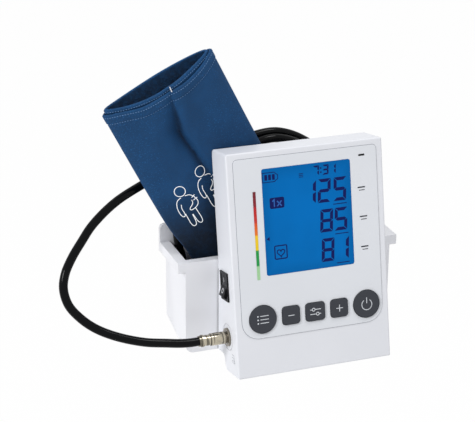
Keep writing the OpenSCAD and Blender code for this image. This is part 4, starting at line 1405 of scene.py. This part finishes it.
class Stitches(Tree):
    """Geometry Nodes tree that lays stitches end to end along a line."""

    sizes: ClassVar[dict[str, float]] = {"Pitch": 0.0019, "Length": 0.0006, "Thickness": 0.0002}

    def __init__(self) -> None:
        """Builds the tree with its named sizes."""
        super().__init__(bpy.data.node_groups.new("stitches", "GeometryNodeTree"))
        face = self.tree.interface
        face.new_socket(name="Line", in_out="INPUT", socket_type="NodeSocketGeometry")
        for name, size in self.sizes.items():
            face.new_socket(name=name, in_out="INPUT", socket_type="NodeSocketFloat").default_value = size
        face.new_socket(name="Thread", in_out="INPUT", socket_type="NodeSocketMaterial")
        face.new_socket(name="Stitches", in_out="OUTPUT", socket_type="NodeSocketGeometry")
        start = self.node("NodeGroupInput")
        edges = self.node("GeometryNodeMeshToCurve", inputs={0: start.outputs["Line"]})
        even = self.node("GeometryNodeResampleCurve", {"mode": "LENGTH"},
                         {"Curve": edges.outputs[0], "Length": start.outputs["Pitch"]})
        tangent = self.node("GeometryNodeInputTangent")
        turned = self.node("FunctionNodeAlignRotationToVector", {"axis": "X"}, {"Vector": tangent.outputs[0]})
        size = self.node("ShaderNodeCombineXYZ", inputs={
            0: start.outputs["Length"], 1: start.outputs["Thickness"], 2: start.outputs["Thickness"]})
        bead = self.node("GeometryNodeMeshUVSphere", inputs={"Segments": 6, "Rings": 4, "Radius": 1.0})
        laid = self.node("GeometryNodeInstanceOnPoints", inputs={
            "Points": even.outputs[0], "Instance": bead.outputs["Mesh"],
            "Rotation": turned.outputs[0], "Scale": size.outputs[0]})
        real = self.node("GeometryNodeRealizeInstances", inputs={0: laid.outputs[0]})
        dressed = self.node("GeometryNodeSetMaterial", inputs={
            "Geometry": real.outputs[0], "Material": start.outputs["Thread"]})
        self.node("NodeGroupOutput", inputs={0: dressed.outputs[0]})

    def lay(self, guide: bpy.types.Object, finish: Finish) -> bpy.types.Object:
        """Turns a guide line into a plain mesh of stitches.

        Args:
            guide: the line, a mesh of edges.
            finish: the thread's finish.

        Returns:
            The same object, now the stitches.
        """
        modifier = guide.modifiers.new("stitches", "NODES")
        modifier.node_group = self.tree
        socket = self.tree.interface.items_tree["Thread"]
        modifier[socket.identifier] = Materials.of(finish)
        evaluated = guide.evaluated_get(bpy.context.evaluated_depsgraph_get())
        mesh = bpy.data.meshes.new_from_object(evaluated)
        guide.modifiers.clear()
        mesh.name = guide.name
        guide.data = mesh
        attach(guide, ROOT)
        log.info("%s: %d faces on %s", guide.name, len(mesh.polygons), ROOT)
        return guide


def circle(x: float, y: float, radius: float, start: float = 0, stop: float = 360,
           count: int = 28) -> list[tuple[float, float]]:
    """Draws a circle or an arc.

    Args:
        x: the middle's place across.
        y: the middle's place up.
        radius: the radius.
        start: where it starts, in degrees from its right side.
        stop: where it stops.
        count: how many points it gets.

    Returns:
        Its points.
    """
    whole = stop - start >= 360
    return [(x + radius * math.cos(a), y + radius * math.sin(a)) for a in (
        math.radians(start + (stop - start) * k / (count if whole else count - 1)) for k in range(count))]


def box(x0: float, y0: float, x1: float, y1: float) -> list[tuple[float, float]]:
    """Outline of a box between two corners."""
    return [(x0, y0), (x1, y0), (x1, y1), (x0, y1)]


def rounded_box(x0: float, y0: float, x1: float, y1: float, radius: float) -> list[tuple[float, float]]:
    """Outlines a box with round corners.

    Args:
        x0: its left side.
        y0: its foot.
        x1: its right side.
        y1: its top.
        radius: the corners' radius.

    Returns:
        Its points.
    """
    corners = ((x1 - radius, y0 + radius, -90), (x1 - radius, y1 - radius, 0),
               (x0 + radius, y1 - radius, 90), (x0 + radius, y0 + radius, 180))
    return [p for x, y, turn in corners for p in circle(x, y, radius, turn, turn + 90, 6)]


def supple(path: Path, step: float = 1.2) -> list[tuple[float, float]]:
    """Rounds a line's corners and fills it with points, so that it follows the folds.

    Args:
        path: the line's points.
        step: about how far apart the new points lie.

    Returns:
        The new line's points.
    """
    for _ in range(2):
        cut = [path[0]]
        for (x0, y0), (x1, y1) in zip(path, path[1:]):
            cut += [(x0 * near + x1 * far, y0 * near + y1 * far)
                    for near, far in ((0.75, 0.25), (0.25, 0.75))]
        path = cut + [path[-1]]
    fine = []
    for (x0, y0), (x1, y1) in zip(path, path[1:]):
        steps = max(1, round(math.hypot(x1 - x0, y1 - y0) / step))
        fine.extend((x0 + (x1 - x0) * k / steps, y0 + (y1 - y0) * k / steps) for k in range(steps))
    return fine + [path[-1]]


@dataclass(frozen=True)
class Digit:
    """A seven-segment figure in a box on the display."""

    figure: str
    left: float
    right: float
    low: float
    high: float
    stroke: float = 2.3
    slant: float = 0.06
    gap: float = 0.1
    tip: tuple[float, float] = (0.2, 0.8)

    SEGMENTS: ClassVar[dict[str, str]] = {
        "0": "abcdef", "1": "bc", "2": "abged", "3": "abgcd", "4": "fgbc", "5": "afgcd",
        "6": "afgedc", "7": "abc", "8": "abcdefg", "9": "abfgcd"}

    def outlines(self) -> list[list[tuple[float, float]]]:
        """Outlines each lit segment.

        Returns:
            One outline for each segment.
        """
        x0, x1, y0, y1, t = self.left, self.right, self.low, self.high, self.stroke
        gap, near, far = t * self.gap, t * self.tip[0], t * self.tip[1]
        middle = (y0 + y1) / 2
        top, foot = y1 - gap * 2, middle + gap
        shapes = {
            "a": [(x0 + gap, y1), (x1 - gap, y1), (x1 - gap - t, y1 - t), (x0 + gap + t, y1 - t)],
            "g": [(x0 + gap + near, middle), (x0 + gap + far, middle + t / 2),
                  (x1 - gap - far, middle + t / 2), (x1 - gap - near, middle),
                  (x1 - gap - far, middle - t / 2), (x0 + gap + far, middle - t / 2)],
            "f": [(x0, top), (x0 + t, top - t), (x0 + t, foot + t / 2), (x0, foot)],
        }
        shapes["b"] = [(x0 + x1 - x, y) for x, y in shapes["f"]]
        shapes["e"] = [(x, y0 + y1 - y) for x, y in shapes["f"]]
        shapes["c"] = [(x0 + x1 - x, y0 + y1 - y) for x, y in shapes["f"]]
        shapes["d"] = [(x, y0 + y1 - y) for x, y in shapes["a"]]
        return [[(x + (y - middle) * self.slant, y) for x, y in shapes[name]]
                for name in self.SEGMENTS[self.figure]]


@dataclass
class Display:
    """Figures and signs behind the display window, measured from the unit's left edge and foot.

    A badge or frame holds its left side, foot, right side, top and corner radius. A row bar holds its left
    end, its height and its length.
    """

    low: float = 0.02
    high: float = 0.07
    pale_rise: float = 0.03
    figures: tuple[Digit, ...] = (
        Digit("1", 57, 66.6, 122, 139.2), Digit("2", 68.2, 78, 122, 139.2),
        Digit("5", 80.4, 90.2, 122, 139.2),
        Digit("8", 69, 78.8, 100.2, 116.9), Digit("5", 80.2, 90, 100.2, 116.9),
        Digit("8", 69, 78.8, 78.4, 95.4), Digit("1", 80.4, 90.2, 78.4, 95.4),
        Digit("7", 65.2, 69.8, 142.2, 149.4, 1.2), Digit("3", 72.6, 77.2, 142.2, 149.4, 1.2),
        Digit("1", 78.6, 82.8, 142.2, 149.4, 1.2))
    colon: Path = ((70.7, 146.8), (70.7, 143.8))
    colon_dot: float = 1.0
    battery: Path = ((26.4, 141.6), (35.6, 141.6), (36.6, 142.6), (38, 143.4), (38, 146.4), (36.6, 147.2),
                     (35.6, 148.4), (26.4, 148.4))
    battery_line: float = 0.5
    battery_bars: tuple[float, ...] = (28, 30.9, 33.8)
    bar_width: float = 2.0
    bar_span: tuple[float, float] = (143, 147)
    badge: tuple[float, ...] = (31, 122.1, 42, 130, 1.2)
    badge_marks: tuple[Path, ...] = (
        ((33, 127.4), (34.4, 128.6), (34.4, 123.4)), ((36.6, 123.6), (40, 127.4)),
        ((36.6, 127.4), (40, 123.6)))
    badge_line: float = 0.9
    pulse_frame: tuple[float, ...] = (32.9, 85.2, 42.1, 94.8, 0.8)
    frame_line: float = 0.8
    heart_place: tuple[float, float] = (37.5, 89.6)
    heart_size: float = 2.9
    heart_line: float = 0.7
    heart_points: int = 36
    heart_swings: tuple[float, ...] = (0.8125, -0.3125, -0.125, -0.0625)
    pointer: Path = ((27, 100.6), (29.4, 102), (29.4, 99.2))
    list_rows: tuple[float, ...] = (144.9, 143.7, 142.5)
    list_span: tuple[float, float] = (54.2, 57.4)
    list_line: float = 0.45
    row_bars: tuple[tuple[float, float, float], ...] = (
        (79.6, 119.8, 10.6), (80, 97.8, 10.4), (80.4, 76.2, 10))
    row_bar_line: float = 0.55

    def build(self) -> None:
        """Makes the dark figures and signs, and the pale marks on one of them."""
        face = UNIT.from_edge(UNIT.lens)
        dark = Print(place=face, low=self.low, high=self.high)
        for digit in self.figures:
            for outline in digit.outlines():
                dark.patch(outline)
        for x, y in self.colon:
            dark.patch(box(x, y, x + self.colon_dot, y + self.colon_dot))
        dark.stroke(self.battery, self.battery_line, closed=True)
        for x in self.battery_bars:
            dark.patch(box(x, self.bar_span[0], x + self.bar_width, self.bar_span[1]))
        dark.patch(rounded_box(*self.badge))
        dark.stroke(rounded_box(*self.pulse_frame), self.frame_line, closed=True)
        dark.stroke(self.heart(), self.heart_line, closed=True)
        dark.patch(self.pointer)
        for y in self.list_rows:
            dark.stroke([(x, y) for x in self.list_span], self.list_line)
        for x, y, wide in self.row_bars:
            dark.stroke([(x, y), (x + wide, y)], self.row_bar_line)
        dark.piece("display_figures", ROOT, [Finish.DIGIT], "display_blue")
        pale = Print(place=face, low=self.high, high=self.high + self.pale_rise)
        for path in self.badge_marks:
            pale.stroke(path, self.badge_line)
        pale.piece("display_pale_figure", ROOT, [Finish.DISPLAY_MARK], "display_blue")

    def heart(self) -> list[tuple[float, float]]:
        """Outlines a plain heart, the sign of a pulse.

        Returns:
            Its points.
        """
        x, y = self.heart_place
        outline = []
        for k in range(self.heart_points):
            t = 2 * math.pi * k / self.heart_points
            rise = sum(swing * math.cos(order * t) for order, swing in enumerate(self.heart_swings, 1))
            outline.append((x + self.heart_size * math.sin(t) ** 3, y + self.heart_size * rise))
        return outline[::-1]


@dataclass
class Keys:
    """Pale signs printed on the five keys, each on its own key and drawn about the key's middle.

    The list's dot holds its place and radius, a slider its height and its knob's place, and the ring its
    middle, radius, first and last angle and number of points.
    """

    row: float = 42.5
    shift: float = 1.5
    round_off: float = 40.6
    square_off: float = 18.875
    line: float = 0.55
    list_rows: tuple[float, ...] = (-2.6, 0, 2.6)
    list_span: tuple[float, float] = (-2.2, 4.2)
    list_dot: tuple[float, float] = (-4, 0.6)
    minus_half: float = 2.4
    plus_half: float = 2.6
    sliders: Path = ((1.7, -1.5), (-1.7, 1.6))
    slider_half: float = 4.2
    knob_radius: float = 1.1
    knob_gap: float = 1.2
    ring: tuple[float, ...] = (0, -0.4, 4, 125, 415, 30)
    ring_bar: Path = ((0, 0.6), (0, 5))

    def sign(self, name: str, across: float, body: str, draw: Callable[[Print], None]) -> None:
        """Prints one sign on its key.

        Args:
            name: the piece's name.
            across: how far the key lies to the right of the middle one.
            body: the body that the sign moves with.
            draw: draws the sign.
        """
        marks = Print(place=lambda x, y, out: UNIT.at(self.shift + across + x, UNIT.cap - out, self.row + y))
        draw(marks)
        marks.piece(name, body, [Finish.KEY_PRINT], "key_rubber")

    def build(self) -> None:
        """Prints every key."""
        self.sign("mode_sign", -self.round_off, "mode_key_body", self.mode)
        self.sign("minus_sign", -self.square_off, "minus_key_body", self.minus)
        self.sign("set_sign", 0, "set_key_body", self.adjust)
        self.sign("plus_sign", self.square_off, "plus_key_body", self.plus)
        self.sign("start_sign", self.round_off, "start_key_body", self.start)

    def mode(self, marks: Print) -> None:
        """Draws a list of three lines with their dots.

        Args:
            marks: the key's print.
        """
        x, radius = self.list_dot
        for y in self.list_rows:
            marks.stroke([(end, y) for end in self.list_span], self.line)
            marks.patch(circle(x, y, radius, count=12))

    def minus(self, marks: Print) -> None:
        """Draws a minus sign."""
        marks.stroke([(-self.minus_half, 0), (self.minus_half, 0)], self.line)

    def adjust(self, marks: Print) -> None:
        """Draws two sliders, for setting a value.

        Args:
            marks: the key's print.
        """
        half, gap = self.slider_half, self.knob_gap
        for y, knob in self.sliders:
            for left, right in ((-half, knob - gap), (knob + gap, half)):
                marks.stroke([(left, y), (right, y)], self.line)
            marks.stroke(circle(knob, y, self.knob_radius, count=20), self.line, closed=True)

    def plus(self, marks: Print) -> None:
        """Draws a plus sign.

        Args:
            marks: the key's print.
        """
        t, r = self.line / 2, self.plus_half
        marks.patch([(-r, -t), (-t, -t), (-t, -r), (t, -r), (t, -t), (r, -t), (r, t), (t, t), (t, r), (-t, r),
                     (-t, t), (-r, t)])

    def start(self, marks: Print) -> None:
        """Draws a broken ring with a bar, for on and off."""
        marks.stroke(circle(*self.ring), self.line)
        marks.stroke(self.ring_bar, self.line)


@dataclass
class Panel:
    """Small plain marks on the front panel, the unit's side and the rocker, and painted shadow lines in the
    gaps round the panel and along the unit's heel.

    A mark's line holds its left and right end, its height beside the row's middle and its width. The rocker's
    upper and lower places are the middles of its faces, in the unit's frame.
    """

    mark_rows: Path = ((102.5, 129.2), (103.2, 107.6), (103.2, 85.2))
    mark_lines: tuple[tuple[float, float, float, float], ...] = (
        (-3.2, 2.6, 0.5, 0.9), (-2.2, 2.2, -1.6, 0.55))
    half: float = 55.05
    foot: float = 28.35
    head: float = 160.05
    head_radius: float = 3.1
    foot_radius: float = 13.1
    seam_width: float = 0.3
    sign_paths: tuple[Path, ...] = (
        ((6.6, 9.6), (6.6, 14.2), (8.2, 16.2), (11.8, 16.2)),
        ((8.6, 9.6), (8.6, 13.4), (9.2, 14.2), (11.8, 14.2)),
        ((6.2, 10.8), (9, 10.8)), ((6.2, 12.2), (9, 12.2)), ((10.2, 10.2), (12.2, 11.4), (10.2, 12.6)))
    sign_line: float = 0.4
    heel: float = -47.1
    heel_line: Path = ((0.3, -50.6), (0.3, 14))
    heel_width: float = 0.6
    rocker_upper: tuple[float, float, float] = (-60.94, 17.4, 70.9)
    rocker_lower: tuple[float, float, float] = (-62.31, 17.4, 63.12)
    rocker_slope: tuple[float, float] = (2.74, 7.53)
    rocker_bar: Path = ((0, -1.7), (0, 1.7))
    rocker_bar_line: float = 0.55
    rocker_ring: float = 1.6
    rocker_ring_line: float = 0.5

    def build(self) -> None:
        """Prints the marks and paints the shadow lines in the gaps."""
        self.marks()
        self.seam()
        self.side()
        self.heel_shadow()
        self.rocker()

    def marks(self) -> None:
        """Prints two short bars beside each row of the display."""
        bars = Print(place=UNIT.from_edge(UNIT.panel))
        for x, y in self.mark_rows:
            for left, right, rise, width in self.mark_lines:
                bars.stroke([(x + left, y + rise), (x + right, y + rise)], width)
        bars.piece("panel_marks", ROOT, [Finish.PANEL_PRINT], "panel_plastic")

    def seam(self) -> None:
        """Paints the fine line of shadow in the gap where the panel sits in the shell."""
        half, small, large = self.half, self.head_radius, self.foot_radius
        line = (circle(half - large, self.foot + large, large, -90, 0, 14)
                + circle(half - small, self.head - small, small, 0, 90, 6)
                + circle(small - half, self.head - small, small, 90, 180, 6)
                + circle(large - half, self.foot + large, large, 180, 270, 14))
        joint = Print(place=UNIT.face(0), high=0.04)
        joint.stroke(line, self.seam_width, closed=True)
        joint.piece("panel_seam_shadow", ROOT, [Finish.SEAM], "white_plastic")

    def side(self) -> None:
        """Prints a plain arm sign with an arrow near the hose socket."""
        sign = Print(low=0.005, high=0.03,
                     place=lambda back, up, out: UNIT.at(-UNIT.half_width - out, back, up))
        for path in self.sign_paths:
            sign.stroke(path, self.sign_line)
        sign.piece("side_sign", ROOT, [Finish.SIDE_PRINT], "white_plastic")

    def heel_shadow(self) -> None:
        """Paints the dark line of shadow in the gap along the unit's heel."""
        joint = Print(high=0.04, place=lambda inward, up, out: Vector((
            UNIT.middle - UNIT.half_width - out, self.heel - inward, up)))
        joint.stroke(self.heel_line, self.heel_width)
        joint.piece("heel_gap_shadow", ROOT, [Finish.HEEL_GAP_SHADOW], "white_plastic")

    def rocker(self) -> None:
        """Prints a bar and a ring on the rocker's two faces."""
        x, y, z = self.rocker_upper
        signs = Print(place=lambda back, up, out: UNIT.at(x - out, y + back, z + up))
        signs.stroke(self.rocker_bar, self.rocker_bar_line)
        signs.place = self.on_lower
        signs.stroke(circle(0, 0, self.rocker_ring, count=24), self.rocker_ring_line, closed=True)
        signs.piece("rocker_signs", "rocker_body", [Finish.ROCKER_PRINT], "black_plastic")

    def on_lower(self, back: float, up: float, out: float) -> Vector:
        """Finds a point on the rocker's lower face, which slopes outwards.

        Args:
            back: distance behind the face's middle.
            up: distance up the face.
            out: height above it.

        Returns:
            The point in millimetres.
        """
        x, y, z = self.rocker_lower
        slope = math.atan2(*self.rocker_slope)
        return UNIT.at(x + up * math.sin(slope) - out * math.cos(slope), y + back,
                       z + up * math.cos(slope) + out * math.sin(slope))


@dataclass
class Dresser:
    """Gives every carried-over node of the frame its finish."""

    finishes: dict[Finish, tuple[str, ...]] = field(default_factory=lambda: {
        Finish.CASE: ("front_shell", "rear_cover", "battery_door", "battery_tray"),
        Finish.BASKET: ("wall_basket",),
        Finish.PANEL: ("front_panel",),
        Finish.BLACK: ("display_frame", "rocker_frame", "rocker", "power_inlet", "cuff_port", "pump_cradle",
                       "indicator_window"),
        Finish.CHIP: ("processor", "buzzer", "pressure_sensor", "release_valve", "pump_head"),
        Finish.MILKY: ("backlight", "air_manifold", "display_glass"),
        Finish.KEY: ("mode_key", "minus_key", "set_key", "plus_key", "start_key"),
        Finish.MAT: ("key_mat",),
        Finish.TUBE: ("inlet_tube", "pump_tube", "valve_tube"),
        Finish.NICKEL: ("connector_body", "connector_collar", "connector_sleeve"),
        Finish.SOCKET: ("hose_socket", "socket_nut"),
        Finish.STEEL: ("case_screws", "basket_screws", "board_screws", "door_screw", "inlet_pin",
                       "battery_contacts", "pump_shaft"),
        Finish.BRASS: ("rocker_terminals",),
        Finish.MOTOR: ("pump_motor",),
        Finish.BOARD: ("main_board",),
        Finish.CELL: ("battery_cell_1", "battery_cell_2", "battery_cell_3", "battery_cell_4"),
    })
    lens_base: Colour = colour(4, 104, 178)
    lens_glow: float = 0.13
    scale_half: float = 1.1
    scale_foot: float = 71.8
    scale_head: float = 135.8
    scale_span: tuple[float, float] = (71.6, 135.9)
    scale_speck: Colour = colour(235, 236, 238)
    scale_stops: tuple[tuple[float, Colour], ...] = (
        (0.0, colour(168, 214, 162)), (0.155, colour(160, 212, 156)), (0.165, colour(28, 150, 72)),
        (0.335, colour(36, 156, 70)), (0.345, colour(238, 208, 30)), (0.5, colour(246, 200, 22)),
        (0.515, colour(236, 124, 30)), (0.64, colour(226, 84, 34)), (0.66, colour(204, 50, 40)),
        (0.82, colour(188, 26, 34)), (0.84, colour(138, 22, 38)), (1.0, colour(112, 26, 40)))

    def paint(self, name: str, material: bpy.types.Material) -> None:
        """Gives one node a material.

        Args:
            name: the node's name.
            material: the material for all its faces.
        """
        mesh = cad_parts[name].data
        if not mesh.materials:
            mesh.materials.append(material)
        for index in range(len(mesh.materials)):
            mesh.materials[index] = material

    def lens(self) -> bpy.types.Material:
        """Makes the lit window's material, measured from its middle.

        Returns:
            The material.
        """
        low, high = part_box("display_lens")
        return LitDisplay("lit_blue_window", self.lens_base, self.lens_glow, tuple((low + high) / 2),
                          (high.x - low.x) / 2, (high.z - low.z) / 2).material()

    def scale_ink(self) -> bpy.types.Material:
        """Makes the scale's material, along the front's slope.

        Returns:
            The material.
        """
        foot, head = (UNIT.at(0, 0, up) * MM for up in self.scale_span)
        return ScaleInk("printed_scale", self.scale_speck, tuple(foot), tuple((head - foot).normalized()),
                        (head - foot).length, self.scale_stops).material()

    def build(self) -> None:
        """Dresses the nodes."""
        for finish, names in self.finishes.items():
            for name in names:
                self.paint(name, Materials.of(finish))
        self.paint("display_lens", self.lens())
        ink = self.scale_ink()
        self.paint("scale_strip", ink)
        self.scale_print(ink)
        log.info("dressed %d nodes", len(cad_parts))

    def scale_print(self, ink: bpy.types.Material) -> None:
        """Prints the scale over its strip, a little wider than the strip itself.

        Args:
            ink: the scale's material.
        """
        low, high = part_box("scale_strip")
        middle = (low.x + high.x) / 2 / MM - UNIT.middle
        scale = Print(place=UNIT.face(UNIT.lens), low=0.005, high=0.03)
        scale.patch(box(middle - self.scale_half, self.scale_foot, middle + self.scale_half, self.scale_head))
        made = scale.piece("scale_print", ROOT, [Finish.PANEL_PRINT], "strip_print")
        made.data.materials[0] = ink


def main() -> None:
    """Builds the scene, the camera and the hose first."""
    logging.basicConfig(level=logging.INFO, format="%(message)s")
    Camera().build()
    Studio().build()
    cuff = Cuff()
    AirHose().build(cuff)
    cuff.build()
    Dresser().build()
    Display().build()
    Keys().build()
    Panel().build()


if __name__ == "__main__":
    main()
